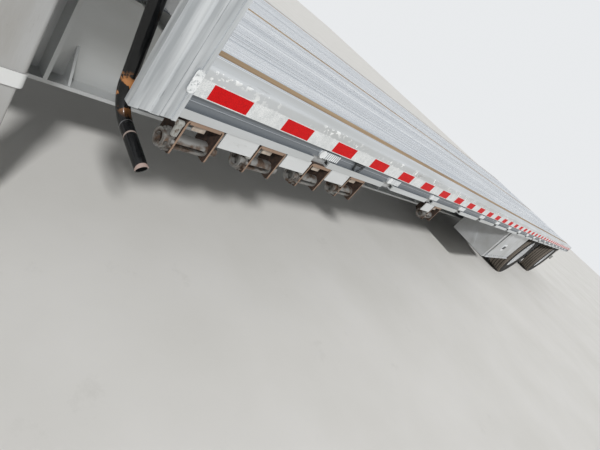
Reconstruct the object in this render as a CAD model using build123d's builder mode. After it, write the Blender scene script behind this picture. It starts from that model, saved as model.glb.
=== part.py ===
import os
from math import pi, sin

from build123d import *

os.makedirs("parts", exist_ok=True)

# Frame: X forward, Y left, Z up, origin on the ground under the middle. Millimetres.

# Overall sizes; the lower deck lies on low outriggers just over the tyres
overall_length = 14630
overall_width = 2591
upper_deck_length = 3048
step_height = 507
tyre_radius = 463.5
tyre_clearance = 6
outrigger_height = 28
plank_depth = 32

nose_x = overall_length / 2
rear_x = -overall_length / 2
step_x = nose_x - upper_deck_length
side_y = overall_width / 2
lower_deck_height = 2 * tyre_radius + tyre_clearance + outrigger_height + plank_depth
upper_deck_height = lower_deck_height + step_height

# Deck planks, extruded with ribs on top and legs below
plank_skin = 5
plank_leg = 4
plank_leg_pitch = 152
plank_foot = 24
plank_foot_thickness = 4
rib_pitch = 33
rib_groove_width = 5
rib_groove_depth = 1.8
nailer_width = 60
nailer_setback = 115
nailer_depth = 24
nailer_floor = 4
nailer_clearance = 0.3
step_panel_thickness = 8
step_rib_pitch = 300
step_rib_count = 7
step_rib_width = 30
step_rib_depth = 20
step_rib_margin = 30
fit_gap = 0.3

# Side rail extrusion, heights measured down from the deck
rail_height = 158
rail_wall = 6
rail_top_flange = 90
rail_bottom_flange = 60
rail_nose_radius = 12
rail_face_bottom = 88
rail_band_top = 131
rail_groove_depth = 14
rail_groove_rib = 3
end_rail_depth = 60
end_rail_corner = 4

# Stake pockets, tubes inside the rail that show in notches in its lower band
pocket_pitch = 596
pocket_setback = 644
pocket_length = 104
pocket_depth = 45
pocket_wall = 5
notch_clearance = 2

# Crossmembers
cross_height = 102
cross_flange = 64
cross_web = 5
cross_flange_thickness = 7
cross_pitch = pocket_pitch / 2
cross_setback = pocket_setback - 1.5 * cross_pitch
cross_tyre_gap = 20

# Main beams and goosenecks
beam_inset = 810.5
beam_web = 8
beam_flange_width = 160
beam_top_flange = 12
beam_bottom_flange = 16
beam_depth = 430
axle_beam_depth = 209
taper_lead = 1321
taper_length = 500
gooseneck_length = 713
gooseneck_flat = 373
neck_depth = 160
stiffener_thickness = 8
stiffener_setback = 200

# Coupler and kingpin
coupler_thickness = 10
coupler_overhang = 55
coupler_corner = 60
coupler_rear_gap = 40
kingpin_setback = 762
kingpin_neck_radius = 25.4
kingpin_collar_radius = 35.7
kingpin_shoulder_radius = 36.5
kingpin_shoulder = 35
kingpin_neck_height = 36
kingpin_drop = 84
kingpin_chamfer = 3

# Step side posts
riser_width = 135
riser_drop = 175
riser_inset = 1
riser_depth = 26
riser_wall = 5

# Winches on the left rail, each with a ratchet and a hub for a bar at its front end
winch_length = 132
winch_pitch = 290
winch_first_setback = 35
winch_row = 4
winch_fifth_setback = 1986
winch_inset = 3
winch_depth = 95
winch_plate = 6
winch_bend = 10
winch_drop = 122
winch_foot_width = 42
winch_foot_rounding = 8
winch_drum_radius = 24
winch_drum_drop = 92
winch_drum_inset = 35.5
winch_lip = 4
winch_tail = 38
winch_tail_radius = 15
winch_tail_bore = 8
winch_slot = 10
ratchet_radius = 35
ratchet_thickness = 10
ratchet_teeth = 12
ratchet_tooth_depth = 6
winch_hub_radius = 28
winch_hub_bore = 18
winch_hub_length = 20
bar_hole_radius = 7
skirt_height = 56
skirt_thickness = 4
skirt_inset = 4
skirt_gap = 7

# Wheels
tyre_width = 255
tyre_sidewall_radius = 400
dual_spacing = 310
wheel_outer_inset = 85
rim_wall = 8
rim_radius = 285
tyre_bead_radius = rim_radius + fit_gap
disc_thickness = 22
disc_bolt_radius = 142
hand_hole_radius = 24
hand_hole_ring = 222
hand_hole_count = 10
hub_radius = 85
hub_length = 120
hub_cap_wall = 8
spindle_end_gap = 5
drum_radius = 210
drum_width = 170
drum_wall = 14
drum_shoulder = 50
rear_axle_setback = 1171
axle_spread = 3073
axle_tube_radius = 63.5
bearing_clearance = 0.05
spindle_radius = 40

# Suspension, heights measured from the axle's centre
arm_thickness = 76
arm_pivot_reach = 500
arm_pivot_rise = 36.5
arm_eye = 45
arm_seat_half = 90
arm_seat_depth = 95
arm_seat_end = 150
arm_tail_reach = 330
arm_tail_overhang = 110
arm_tail_drop = 23.5
pivot_radius = 20
hanger_plate = 10
hanger_length = 170
hanger_foot_length = 120
hanger_lip = 50
spring_radius = 125
spring_base_radius = 100
spring_neck_radius = 90
spring_piston_height = 70
spring_plate = 8
chamber_radius = 80
chamber_length = 150
chamber_band = 7
chamber_band_length = 16
chamber_inset = 185
chamber_gap = 20
chamber_rise = 20
chamber_bracket = 60
chamber_bracket_depth = 30
tank_radius = 120
tank_length = 700
tank_gap = 150
tank_lead = 2171

# Landing gear, ahead of the step
leg_ahead = 266
leg_inset = 443.5
leg_size = 127
leg_wall = 6
leg_length = 796
leg_corner = 14
leg_collar_height = 48
leg_collar_depth = 5
leg_plate = 10
leg_plate_height = 240
inner_leg_size = leg_size - 2 * leg_wall - 2 * fit_gap
inner_leg_wall = 5
inner_leg_overlap = 330
inner_leg_bottom_z = 70
foot_size = 254
foot_thickness = 12
foot_post_length = 100
foot_post_width = 70
crank_shaft_ahead = 112
crank_shaft_drop = 320
crank_arm_inset = 190.5
crank_arm_length = 463
crank_arm_lean = 69
crank_grip_drop = 79
crank_grip_lean = 44
crank_end_inset = 13.5
crank_radius = 20.5
crank_wall = 3.5
crank_boss_radius = 26
crank_boss_length = 52
crank_bend_radius = 110
shaft_radius = 14
shaft_clearance = 8
gearbox_height = 190
gearbox_length = 115
gearbox_width = 95
strut_foot_rise = 110
strut_depth = 60
strut_width = 40
tie_rise = 90
tie_size = 50

# Toolboxes, ahead of the front axle
box_inset = 120
box_depth = 520
box_length = 1524
box_height = 529
box_wall = 4
box_lead = 2240
box_corner = 120
box_rear_margin = 40
door_top_margin = 60
door_lap = 20
door_sill = 10
door_thickness = 5
door_gap = 6
hinge_radius = 9
hinge_pin_radius = 4
hinge_clearance = 0.05
hinge_lug = 40
hinge_end_gap = 1
strap_width = 44
strap_thickness = 5
strap_low_inset = 154

# Rear end
guard_tube = 100
guard_bottom_z = 460
guard_inset = 95.5
flap_width = 600
flap_inset = 95.5
flap_bar = 40
flap_bottom_z = 230
flap_bar_drop = 59
flap_thickness = 8
flap_gap = 110
lamp_radius = 52
lamp_depth = 30
lamp_setback = 260
lamp_pitch = 125
marker_radius = 32
marker_pitch = 160

rear_axle_x = rear_x + rear_axle_setback
front_axle_x = rear_axle_x + axle_spread
axle_xs = (front_axle_x, rear_axle_x)
sides = (("left", 1), ("right", -1))
lower_rear_x = rear_x + end_rail_depth
upper_front_x = nose_x - end_rail_depth
gooseneck_rear_x = step_x + step_panel_thickness
gooseneck_front_x = gooseneck_rear_x + gooseneck_length
axle_z = tyre_radius
outer_tyre_y = side_y - wheel_outer_inset - tyre_width / 2
dual_y = outer_tyre_y - dual_spacing / 2
inner_tyre_y = outer_tyre_y - dual_spacing
deck_half = side_y - rail_top_flange
rail_inner_y = side_y - rail_groove_depth - rail_wall
beam_y = side_y - beam_inset
beam_top_z = lower_deck_height - plank_depth - cross_height
beam_bottom_z = beam_top_z - beam_depth
axle_beam_bottom_z = beam_top_z - axle_beam_depth
neck_top_z = upper_deck_height - plank_depth - cross_height
neck_bottom_z = neck_top_z - neck_depth


def keep(part, name):
    """Labels a finished piece and writes it."""
    part.label = name
    export_step(part, f"parts/{name}.step")


def rail_profile(deck_z, side):
    """Section of the side rail, outer face at side_y, drawn in Y and Z."""
    def at(inward, down):
        return (side * (side_y - inward), deck_z - down)
    face = rail_face_bottom
    band = rail_band_top
    groove = rail_groove_depth
    wall = rail_wall
    middle = (face + band) / 2
    points = [
        at(rail_nose_radius, 0), at(rail_top_flange, 0), at(rail_top_flange, wall),
        at(wall, wall), at(wall, face - wall), at(groove + wall, face - wall),
        at(groove + wall, band + wall), at(wall, band + wall), at(wall, rail_height - wall),
        at(rail_bottom_flange, rail_height - wall), at(rail_bottom_flange, rail_height),
        at(0, rail_height), at(0, band), at(groove, band), at(groove, middle + wall / 2),
        at(groove - rail_groove_rib, middle), at(groove, middle - wall / 2),
        at(groove, face), at(0, face), at(0, rail_nose_radius),
    ]
    with BuildSketch() as section:
        with BuildLine():
            Polyline(*points)
            short = rail_nose_radius * (1 - sin(pi / 4))
            ThreePointArc(points[-1], at(short, short), points[0])
        make_face()
    return section.sketch


def i_section(height, flange, web, top, bottom):
    """I-section standing on the local origin."""
    Rectangle(flange, bottom, align=(Align.CENTER, Align.MIN))
    Rectangle(web, height, align=(Align.CENTER, Align.MIN))
    with Locations((0, height - top)):
        Rectangle(flange, top, align=(Align.CENTER, Align.MIN))


def pocket_places(front_x, rear_x_limit):
    """X of each stake pocket behind the front end of a rail."""
    count = int((front_x - pocket_setback - rear_x_limit - pocket_length / 2) // pocket_pitch) + 1
    return [front_x - pocket_setback - k * pocket_pitch for k in range(count)]


def cross_places(front_x, rear_x_limit):
    """X of each crossmember, half a pitch either side of the stake pockets."""
    first = front_x - cross_setback
    count = int((first - rear_x_limit - cross_flange / 2) // cross_pitch) + 1
    return [first - k * cross_pitch for k in range(count)]


def lamp_circles(clearance):
    """Round lamps on the sill: two by each side and three markers in the middle."""
    lamp_z = lower_deck_height - rail_height / 2
    for side in (1, -1):
        with Locations((side * (side_y - lamp_setback), lamp_z)):
            with GridLocations(lamp_pitch, 1, 2, 1):
                Circle(lamp_radius + clearance)
    with Locations((0, lamp_z)):
        with GridLocations(marker_pitch, 1, 3, 1):
            Circle(marker_radius + clearance)


lower_pockets = pocket_places(step_x, lower_rear_x)
upper_pockets = pocket_places(upper_front_x, step_x)
lower_crosses = cross_places(step_x, lower_rear_x)
upper_crosses = cross_places(upper_front_x, step_x)

# Nailers: one strip by each rail and one on the centre line
nailer_ys = (side_y - nailer_setback - nailer_width / 2, 0, nailer_setback + nailer_width / 2 - side_y)

# Deck floors: name, rear end, front end, deck height
for name, start_x, end_x, deck_z in (
    ("lower_deck_floor", lower_rear_x, step_x, lower_deck_height),
    ("upper_deck_floor", gooseneck_rear_x, upper_front_x, upper_deck_height),
):
    with BuildPart() as floor:
        with BuildSketch(Plane.YZ.offset(start_x)):
            with Locations((0, deck_z - plank_skin / 2)):
                Rectangle(2 * deck_half, plank_skin)
            leg_count = int(2 * deck_half // plank_leg_pitch)
            with Locations((0, deck_z - plank_depth / 2)):
                with GridLocations(plank_leg_pitch, 1, leg_count, 1):
                    Rectangle(plank_leg, plank_depth)
            with Locations((0, deck_z - plank_depth + plank_foot_thickness / 2)):
                with GridLocations(plank_leg_pitch, 1, leg_count, 1):
                    Rectangle(plank_foot, plank_foot_thickness)
            for y in nailer_ys:
                with Locations((y, deck_z)):
                    Rectangle(nailer_width + 2 * plank_leg, nailer_depth + nailer_floor,
                              align=(Align.CENTER, Align.MAX))
                    Rectangle(nailer_width, nailer_depth, align=(Align.CENTER, Align.MAX),
                              mode=Mode.SUBTRACT)
            rib_count = int(2 * deck_half // rib_pitch) - 1
            with Locations((0, deck_z - rib_groove_depth / 2)):
                with GridLocations(rib_pitch, 1, rib_count, 1):
                    Rectangle(rib_groove_width, rib_groove_depth, mode=Mode.SUBTRACT)
        extrude(amount=end_x - start_x)
    keep(floor.part, name)

with BuildPart() as nailers:
    for start_x, end_x, deck_z in (
        (lower_rear_x, step_x, lower_deck_height),
        (gooseneck_rear_x, upper_front_x, upper_deck_height),
    ):
        with BuildSketch(Plane.YZ.offset(start_x)):
            for y in nailer_ys:
                with Locations((y, deck_z)):
                    Rectangle(nailer_width - 2 * nailer_clearance, nailer_depth,
                              align=(Align.CENTER, Align.MAX))
        extrude(amount=end_x - start_x)
keep(nailers.part, "nailers")

# Side rails: name, rear end, front end, deck height, pocket places
for name, start_x, end_x, deck_z, places in (
    ("lower_side_rails", lower_rear_x, step_x, lower_deck_height, lower_pockets),
    ("upper_side_rails", step_x, upper_front_x, upper_deck_height, upper_pockets),
):
    with BuildPart() as rails:
        with BuildSketch(Plane.YZ.offset(start_x)):
            for side in (1, -1):
                add(rail_profile(deck_z, side))
        extrude(amount=end_x - start_x)
        for side in (1, -1):
            with Locations(*[(x, side * side_y, deck_z - rail_height) for x in places]):
                Box(pocket_length + 2 * notch_clearance, 2 * rail_top_flange,
                    rail_height - rail_band_top,
                    align=(Align.CENTER, Align.CENTER, Align.MIN), mode=Mode.SUBTRACT)
    keep(rails.part, name)

# Pocket tubes stand against the back of the rail's groove, under its top flange
with BuildPart() as stake_pockets:
    for deck_z, places in (
        (lower_deck_height, lower_pockets), (upper_deck_height, upper_pockets)
    ):
        with BuildSketch(Plane.XY.offset(deck_z - rail_height)):
            for side in (1, -1):
                with Locations(*[(x, side * (rail_inner_y - pocket_depth / 2)) for x in places]):
                    Rectangle(pocket_length, pocket_depth)
                    Rectangle(pocket_length - 2 * pocket_wall, pocket_depth - 2 * pocket_wall,
                              mode=Mode.SUBTRACT)
        extrude(amount=rail_height - rail_wall)
keep(stake_pockets.part, "stake_pockets")

# Crossmembers reach from rail web to rail web; over the tyres they are shallow outriggers
wheel_zone = tyre_radius + cross_flange
inner_cross_half = inner_tyre_y - tyre_width / 2 - cross_tyre_gap


def over_wheel(x):
    return any(abs(x - axle_x) < wheel_zone for axle_x in axle_xs)


with BuildPart() as lower_crossmembers:
    with BuildSketch(Plane.XZ.offset(-rail_inner_y)):
        for x in lower_crosses:
            if not over_wheel(x):
                with Locations((x, beam_top_z)):
                    i_section(cross_height, cross_flange, cross_web,
                              cross_flange_thickness, cross_flange_thickness)
    extrude(amount=2 * rail_inner_y)
    with BuildSketch(Plane.XZ.offset(-inner_cross_half)):
        for x in lower_crosses:
            if over_wheel(x):
                with Locations((x, beam_top_z)):
                    i_section(cross_height, cross_flange, cross_web,
                              cross_flange_thickness, cross_flange_thickness)
    extrude(amount=2 * inner_cross_half)
    for side in (1, -1):
        near = inner_cross_half if side > 0 else -rail_inner_y
        with BuildSketch(Plane.XZ.offset(-near)):
            for x in lower_crosses:
                if over_wheel(x):
                    with Locations((x, lower_deck_height - plank_depth)):
                        Rectangle(cross_flange, outrigger_height, align=(Align.CENTER, Align.MAX))
        extrude(amount=inner_cross_half - rail_inner_y)
keep(lower_crossmembers.part, "lower_crossmembers")

with BuildPart() as upper_crossmembers:
    with BuildSketch(Plane.XZ.offset(-rail_inner_y)):
        for x in upper_crosses:
            with Locations((x, neck_top_z)):
                i_section(cross_height, cross_flange, cross_web,
                          cross_flange_thickness, cross_flange_thickness)
    extrude(amount=2 * rail_inner_y)
keep(upper_crossmembers.part, "upper_crossmembers")

# Main beams: deep under the lower deck, tapering up over the axles
taper_front_x = front_axle_x + taper_lead
taper_end_x = taper_front_x - taper_length
with BuildPart() as main_beams:
    for side in (1, -1):
        with BuildSketch(Plane.XZ.offset(-side * beam_y - beam_web / 2)):
            with BuildLine():
                Polyline(
                    (gooseneck_rear_x, beam_bottom_z), (taper_front_x, beam_bottom_z),
                    (taper_end_x, axle_beam_bottom_z), (lower_rear_x, axle_beam_bottom_z),
                    (lower_rear_x, beam_top_z), (gooseneck_rear_x, beam_top_z), close=True,
                )
            make_face()
        extrude(amount=beam_web)
        with BuildSketch(Plane.XZ.offset(-side * beam_y - beam_flange_width / 2)):
            with BuildLine():
                Polyline(
                    (gooseneck_rear_x, beam_bottom_z), (taper_front_x, beam_bottom_z),
                    (taper_end_x, axle_beam_bottom_z), (lower_rear_x, axle_beam_bottom_z),
                    (lower_rear_x, axle_beam_bottom_z + beam_bottom_flange),
                    (taper_end_x, axle_beam_bottom_z + beam_bottom_flange),
                    (taper_front_x, beam_bottom_z + beam_bottom_flange),
                    (gooseneck_rear_x, beam_bottom_z + beam_bottom_flange), close=True,
                )
            make_face()
            with Locations(((gooseneck_rear_x + lower_rear_x) / 2, beam_top_z)):
                Rectangle(gooseneck_rear_x - lower_rear_x, beam_top_flange,
                          align=(Align.CENTER, Align.MAX))
        extrude(amount=beam_flange_width)
keep(main_beams.part, "main_beams")

# Goosenecks: the deep web that carries the beam up to the neck, with a passage for the crank's shaft
crank_shaft_x = step_x + crank_shaft_ahead
crank_shaft_z = upper_deck_height - crank_shaft_drop
gooseneck_outline = (
    (gooseneck_rear_x, beam_bottom_z), (gooseneck_rear_x + gooseneck_flat, beam_bottom_z),
    (gooseneck_front_x, neck_bottom_z), (gooseneck_front_x, neck_top_z),
    (gooseneck_rear_x, neck_top_z),
)
with BuildPart() as goosenecks:
    for side in (1, -1):
        with BuildSketch(Plane.XZ.offset(-side * beam_y - beam_web / 2)):
            with BuildLine():
                Polyline(*gooseneck_outline, close=True)
            make_face()
        extrude(amount=beam_web)
        with BuildSketch(Plane.XZ.offset(-side * beam_y - beam_flange_width / 2)):
            with BuildLine():
                Polyline(*gooseneck_outline, close=True)
            make_face()
            offset(amount=-beam_bottom_flange, kind=Kind.INTERSECTION, mode=Mode.SUBTRACT)
        extrude(amount=beam_flange_width)
        with Locations((gooseneck_rear_x + stiffener_setback, side * beam_y, beam_bottom_z)):
            Box(stiffener_thickness, beam_flange_width, neck_top_z - beam_bottom_z,
                align=(Align.CENTER, Align.CENTER, Align.MIN))
    with BuildSketch(Plane.XZ.offset(-beam_y - beam_flange_width)):
        with Locations((crank_shaft_x, crank_shaft_z)):
            Circle(shaft_radius + shaft_clearance)
    extrude(amount=2 * (beam_y + beam_flange_width), mode=Mode.SUBTRACT)
keep(goosenecks.part, "goosenecks")

with BuildPart() as neck_beams:
    with BuildSketch(Plane.YZ.offset(gooseneck_front_x)):
        for side in (1, -1):
            with Locations((side * beam_y, neck_bottom_z)):
                i_section(neck_top_z - neck_bottom_z, beam_flange_width, beam_web,
                          beam_top_flange, beam_top_flange)
    extrude(amount=upper_front_x - gooseneck_front_x)
keep(neck_beams.part, "neck_beams")

# Coupler plate with the kingpin welded in it
coupler_bottom_z = neck_bottom_z - coupler_thickness
coupler_width = 2 * (beam_y + beam_flange_width / 2 + coupler_overhang)
apron_top_z = upper_deck_height - rail_height
kingpin_x = nose_x - kingpin_setback
with BuildPart() as coupler_plate:
    coupler_length = upper_front_x - gooseneck_front_x - coupler_rear_gap
    with BuildSketch(Plane.XY.offset(coupler_bottom_z)):
        with Locations((upper_front_x - coupler_length / 2, 0)):
            RectangleRounded(coupler_length, coupler_width, coupler_corner)
    extrude(amount=coupler_thickness)
    with BuildSketch(Plane.XZ):
        with BuildLine():
            neck_top = coupler_bottom_z - kingpin_shoulder
            neck_low = neck_top - kingpin_neck_height
            low = coupler_bottom_z - kingpin_drop
            Polyline(
                (kingpin_x, coupler_bottom_z + coupler_thickness / 2),
                (kingpin_x + kingpin_shoulder_radius, coupler_bottom_z + coupler_thickness / 2),
                (kingpin_x + kingpin_shoulder_radius, neck_top),
                (kingpin_x + kingpin_neck_radius, neck_top),
                (kingpin_x + kingpin_neck_radius, neck_low),
                (kingpin_x + kingpin_collar_radius, neck_low),
                (kingpin_x + kingpin_collar_radius, low + kingpin_chamfer),
                (kingpin_x + kingpin_collar_radius - kingpin_chamfer, low),
                (kingpin_x, low), close=True,
            )
        make_face()
    revolve(axis=Axis((kingpin_x, 0, 0), (0, 0, 1)))
    # Apron up to the nose rail
    with Locations((upper_front_x, 0, coupler_bottom_z)):
        Box(rail_wall, coupler_width, apron_top_z - coupler_bottom_z,
            align=(Align.MIN, Align.CENTER, Align.MIN))
keep(coupler_plate.part, "coupler_plate")

# End rails across the nose and the tail
for name, start_x, deck_z, open_to in (
    ("nose_rail", upper_front_x, upper_deck_height, -1),
    ("rear_sill", rear_x, lower_deck_height, 1),
):
    with BuildPart() as end_rail:
        with BuildSketch(Plane.XZ.offset(-side_y)):
            with Locations((start_x + end_rail_depth / 2, deck_z)):
                Rectangle(end_rail_depth, rail_height, align=(Align.CENTER, Align.MAX))
            with Locations((start_x + end_rail_depth / 2 + open_to * rail_wall, deck_z - rail_wall)):
                Rectangle(end_rail_depth, rail_height - 2 * rail_wall,
                          align=(Align.CENTER, Align.MAX), mode=Mode.SUBTRACT)
        extrude(amount=2 * side_y)
        upright_edges = end_rail.edges().filter_by(Axis.Z).sort_by(Axis.X)
        fillet(upright_edges[-2:] if open_to < 0 else upright_edges[:2], end_rail_corner)
        if open_to > 0:
            with BuildSketch(Plane.YZ.offset(start_x)):
                lamp_circles(fit_gap)
            extrude(amount=rail_wall, mode=Mode.SUBTRACT)
    keep(end_rail.part, name)

# Air and light couplings on the apron under the nose rail
coupling_z = (apron_top_z + coupler_bottom_z) / 2
with BuildPart() as nose_couplings:
    apron_face = Plane.YZ.offset(upper_front_x + rail_wall)
    # y, radius, length of each coupling: two air and one electrical
    for y, radius, length in ((-190, 26, 42), (0, 30, 34), (190, 26, 42)):
        with BuildSketch(apron_face):
            with Locations((y, coupling_z)):
                RectangleRounded(3 * radius, 3 * radius, 8)
        extrude(amount=6)
        with BuildSketch(apron_face):
            with Locations((y, coupling_z)):
                Circle(radius)
        extrude(amount=length)
keep(nose_couplings.part, "nose_couplings")

# Step side posts: ribbed extrusions that stand on the side from the lower to the upper rail
riser_bottom_z = lower_deck_height - riser_drop
with BuildPart() as riser_posts:
    for side in (1, -1):
        face_y = side_y - riser_inset
        # distance forward of the rear edge, inset of the face there
        steps = ((0, 0), (14, 0), (14, 4), (46, 4), (52, 0), (74, 0), (80, 4), (110, 4), (110, 0),
                 (riser_width, 0))
        outer = [(step_x + along, side * (face_y - inset)) for along, inset in steps]
        back = face_y - riser_depth
        skin = face_y - riser_wall - 4
        inner = [
            (step_x + riser_width, side * back), (step_x + riser_width - riser_wall, side * back),
            (step_x + riser_width - riser_wall, side * skin), (step_x + riser_wall, side * skin),
            (step_x + riser_wall, side * back), (step_x, side * back),
        ]
        with BuildSketch(Plane.XY.offset(riser_bottom_z)):
            with BuildLine():
                Polyline(*outer, *inner, close=True)
            make_face()
        extrude(amount=upper_deck_height - rail_height - riser_bottom_z)
keep(riser_posts.part, "riser_posts")

# Step panel: the upright face between the two decks
with BuildPart() as step_panel:
    with Locations((step_x, 0, lower_deck_height)):
        Box(step_panel_thickness, 2 * deck_half, upper_deck_height - lower_deck_height,
            align=(Align.MIN, Align.CENTER, Align.MIN))
    with Locations((step_x, 0, (lower_deck_height + neck_bottom_z) / 2)):
        with GridLocations(1, step_rib_pitch, 1, step_rib_count):
            Box(step_rib_depth, step_rib_width,
                neck_bottom_z - lower_deck_height - 2 * step_rib_margin,
                align=(Align.MAX, Align.CENTER, Align.CENTER))
keep(step_panel.part, "step_panel")

# Winches: bent U-frames hung under the left rail, their sides tapered from the inner edge
winch_fronts = [step_x - winch_first_setback - k * winch_pitch for k in range(winch_row)]
winch_fronts.append(step_x - winch_fifth_setback)
winch_top_z = lower_deck_height - rail_height
winch_foot_z = winch_top_z - winch_drop
winch_drum_z = winch_top_z - winch_drum_drop
winch_drum_y = side_y - winch_drum_inset
winch_outer_y = side_y - winch_inset
winch_inner_y = side_y - winch_depth
with BuildPart() as winch_frames:
    with BuildSketch(Plane.XZ.offset(-winch_outer_y)):
        half = winch_plate / 2
        for front_x in winch_fronts:
            back_x = front_x - winch_length
            with BuildLine():
                FilletPolyline(
                    (front_x - half, winch_foot_z), (front_x - half, winch_top_z - half),
                    (back_x + half, winch_top_z - half), (back_x + half, winch_foot_z),
                    radius=winch_bend,
                )
            trace(line_width=winch_plate)
    extrude(amount=winch_outer_y - winch_inner_y)
    with BuildSketch(Plane.YZ.offset(winch_fronts[-1] - winch_length)) as winch_side:
        with BuildLine():
            Polyline(
                (winch_outer_y, winch_top_z), (winch_outer_y, winch_foot_z),
                (winch_outer_y - winch_foot_width, winch_foot_z),
                (winch_inner_y, winch_drum_z), (winch_inner_y, winch_top_z), close=True,
            )
        make_face()
        fillet(winch_side.vertices().group_by(Axis.Y)[0], winch_foot_rounding)
        with Locations((winch_drum_y, winch_drum_z)):
            Circle(winch_drum_radius + fit_gap, mode=Mode.SUBTRACT)
    extrude(amount=winch_fronts[0] - winch_fronts[-1] + winch_length, mode=Mode.INTERSECT)
keep(winch_frames.part, "winch_frames")

# Drums: a slotted barrel through the frame, a hollow tail behind it, and ahead of it a toothed
# ratchet and a hollow hub with bar holes
with BuildPart() as winch_drums:
    for front_x in winch_fronts:
        ratchet_x = front_x + fit_gap
        hub_x = ratchet_x + ratchet_thickness
        drum_middle = (winch_drum_y, winch_drum_z)
        barrel_x = front_x - winch_length - winch_lip
        with BuildSketch(Plane.YZ.offset(barrel_x)):
            with Locations(drum_middle):
                Circle(winch_drum_radius)
        extrude(amount=ratchet_x - barrel_x)
        with BuildSketch(Plane.YZ.offset(barrel_x)):
            with Locations(drum_middle):
                Circle(winch_tail_radius)
                Circle(winch_tail_bore, mode=Mode.SUBTRACT)
        extrude(amount=winch_lip - winch_tail)
        with BuildSketch(Plane.YZ.offset(ratchet_x)):
            with Locations(drum_middle):
                Circle(ratchet_radius)
                with PolarLocations(0, ratchet_teeth):
                    tooth = 2 * pi * ratchet_radius / ratchet_teeth
                    Polygon((ratchet_radius + 1, 0), (ratchet_radius + 1, 0.8 * tooth),
                            (ratchet_radius - ratchet_tooth_depth, 0), align=None,
                            mode=Mode.SUBTRACT)
        extrude(amount=ratchet_thickness)
        with BuildSketch(Plane.YZ.offset(hub_x)):
            with Locations(drum_middle):
                Circle(winch_hub_radius)
                Circle(winch_hub_bore, mode=Mode.SUBTRACT)
        extrude(amount=winch_hub_length)
        with Locations((hub_x + winch_hub_length / 2, winch_drum_y, winch_drum_z)):
            Cylinder(bar_hole_radius, 3 * winch_hub_radius, mode=Mode.SUBTRACT)
            Cylinder(bar_hole_radius, 3 * winch_hub_radius, rotation=(90, 0, 0), mode=Mode.SUBTRACT)
        # Slot that takes the strap's end
        with Locations((front_x - winch_length / 2, winch_drum_y, winch_drum_z)):
            Box(winch_length - 4 * winch_plate, 3 * winch_drum_radius, winch_slot,
                mode=Mode.SUBTRACT)
keep(winch_drums.part, "winch_drums")

# Skirt plates close the gap ahead of every winch but the first
with BuildPart() as skirt_plates:
    skirt_length = winch_pitch - winch_length - 2 * skirt_gap
    with Locations(*[(x + skirt_gap, side_y - skirt_inset, winch_top_z) for x in winch_fronts[1:]]):
        Box(skirt_length, skirt_thickness, skirt_height, align=(Align.MIN, Align.MAX, Align.MAX))
keep(skirt_plates.part, "skirt_plates")

# Landing gear
leg_x = step_x + leg_ahead
leg_y = side_y - leg_inset
leg_bottom_z = neck_top_z - leg_length
inner_leg_top_z = leg_bottom_z + inner_leg_overlap
leg_bore = leg_size - 2 * leg_wall
with BuildPart() as landing_gear_legs:
    for side in (1, -1):
        for size, corner, height in (
            (leg_size, leg_corner, leg_length),
            (leg_size + 2 * leg_collar_depth, leg_corner + leg_collar_depth, leg_collar_height),
        ):
            with BuildSketch(Plane.XY.offset(leg_bottom_z)):
                with Locations((leg_x, side * leg_y)):
                    RectangleRounded(size, size, corner)
                    RectangleRounded(leg_bore, leg_bore, leg_corner - leg_wall, mode=Mode.SUBTRACT)
            extrude(amount=height)
        # Mounting plate from the gooseneck web to the leg
        inner_y = beam_y + beam_flange_width / 2
        outer_y = leg_y - leg_size / 2
        with Locations((leg_x, side * (inner_y + outer_y) / 2, neck_top_z)):
            Box(leg_size, outer_y - inner_y, leg_plate, align=(Align.CENTER, Align.CENTER, Align.MAX))
            Box(leg_plate, outer_y - inner_y, leg_plate_height,
                align=(Align.CENTER, Align.CENTER, Align.MAX))
keep(landing_gear_legs.part, "landing_gear_legs")

with BuildPart() as landing_gear_inner_legs:
    for side in (1, -1):
        with BuildSketch(Plane.XY.offset(inner_leg_bottom_z)):
            with Locations((leg_x, side * leg_y)):
                RectangleRounded(inner_leg_size, inner_leg_size, leg_corner - leg_wall)
                Rectangle(inner_leg_size - 2 * inner_leg_wall, inner_leg_size - 2 * inner_leg_wall,
                          mode=Mode.SUBTRACT)
        extrude(amount=inner_leg_top_z - inner_leg_bottom_z)
        with Locations((leg_x, side * leg_y, inner_leg_bottom_z)):
            Box(inner_leg_size, inner_leg_size, leg_plate,
                align=(Align.CENTER, Align.CENTER, Align.MAX))
        with Locations((leg_x, side * leg_y, 0)):
            Box(foot_size, foot_size, foot_thickness, align=(Align.CENTER, Align.CENTER, Align.MIN))
            Box(foot_post_length, foot_post_width, inner_leg_bottom_z - leg_plate,
                align=(Align.CENTER, Align.CENTER, Align.MIN))
keep(landing_gear_inner_legs.part, "landing_gear_inner_legs")

# Gearboxes behind the legs, joined by the cross shaft that carries the crank
gearbox_x = leg_x - leg_size / 2
crank_arm_y = side_y - crank_arm_inset
crank_boss_y = crank_arm_y - crank_boss_length / 2
with BuildPart() as landing_gear_gearboxes:
    with Locations(*[(gearbox_x, side * leg_y, crank_shaft_z) for side in (1, -1)]):
        Box(gearbox_length, gearbox_width, gearbox_height,
            align=(Align.MAX, Align.CENTER, Align.CENTER))
    with BuildSketch(Plane.XZ.offset(-crank_boss_y)):
        with Locations((crank_shaft_x, crank_shaft_z)):
            Circle(shaft_radius)
    extrude(amount=crank_boss_y + leg_y)
keep(landing_gear_gearboxes.part, "landing_gear_gearboxes")

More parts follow.
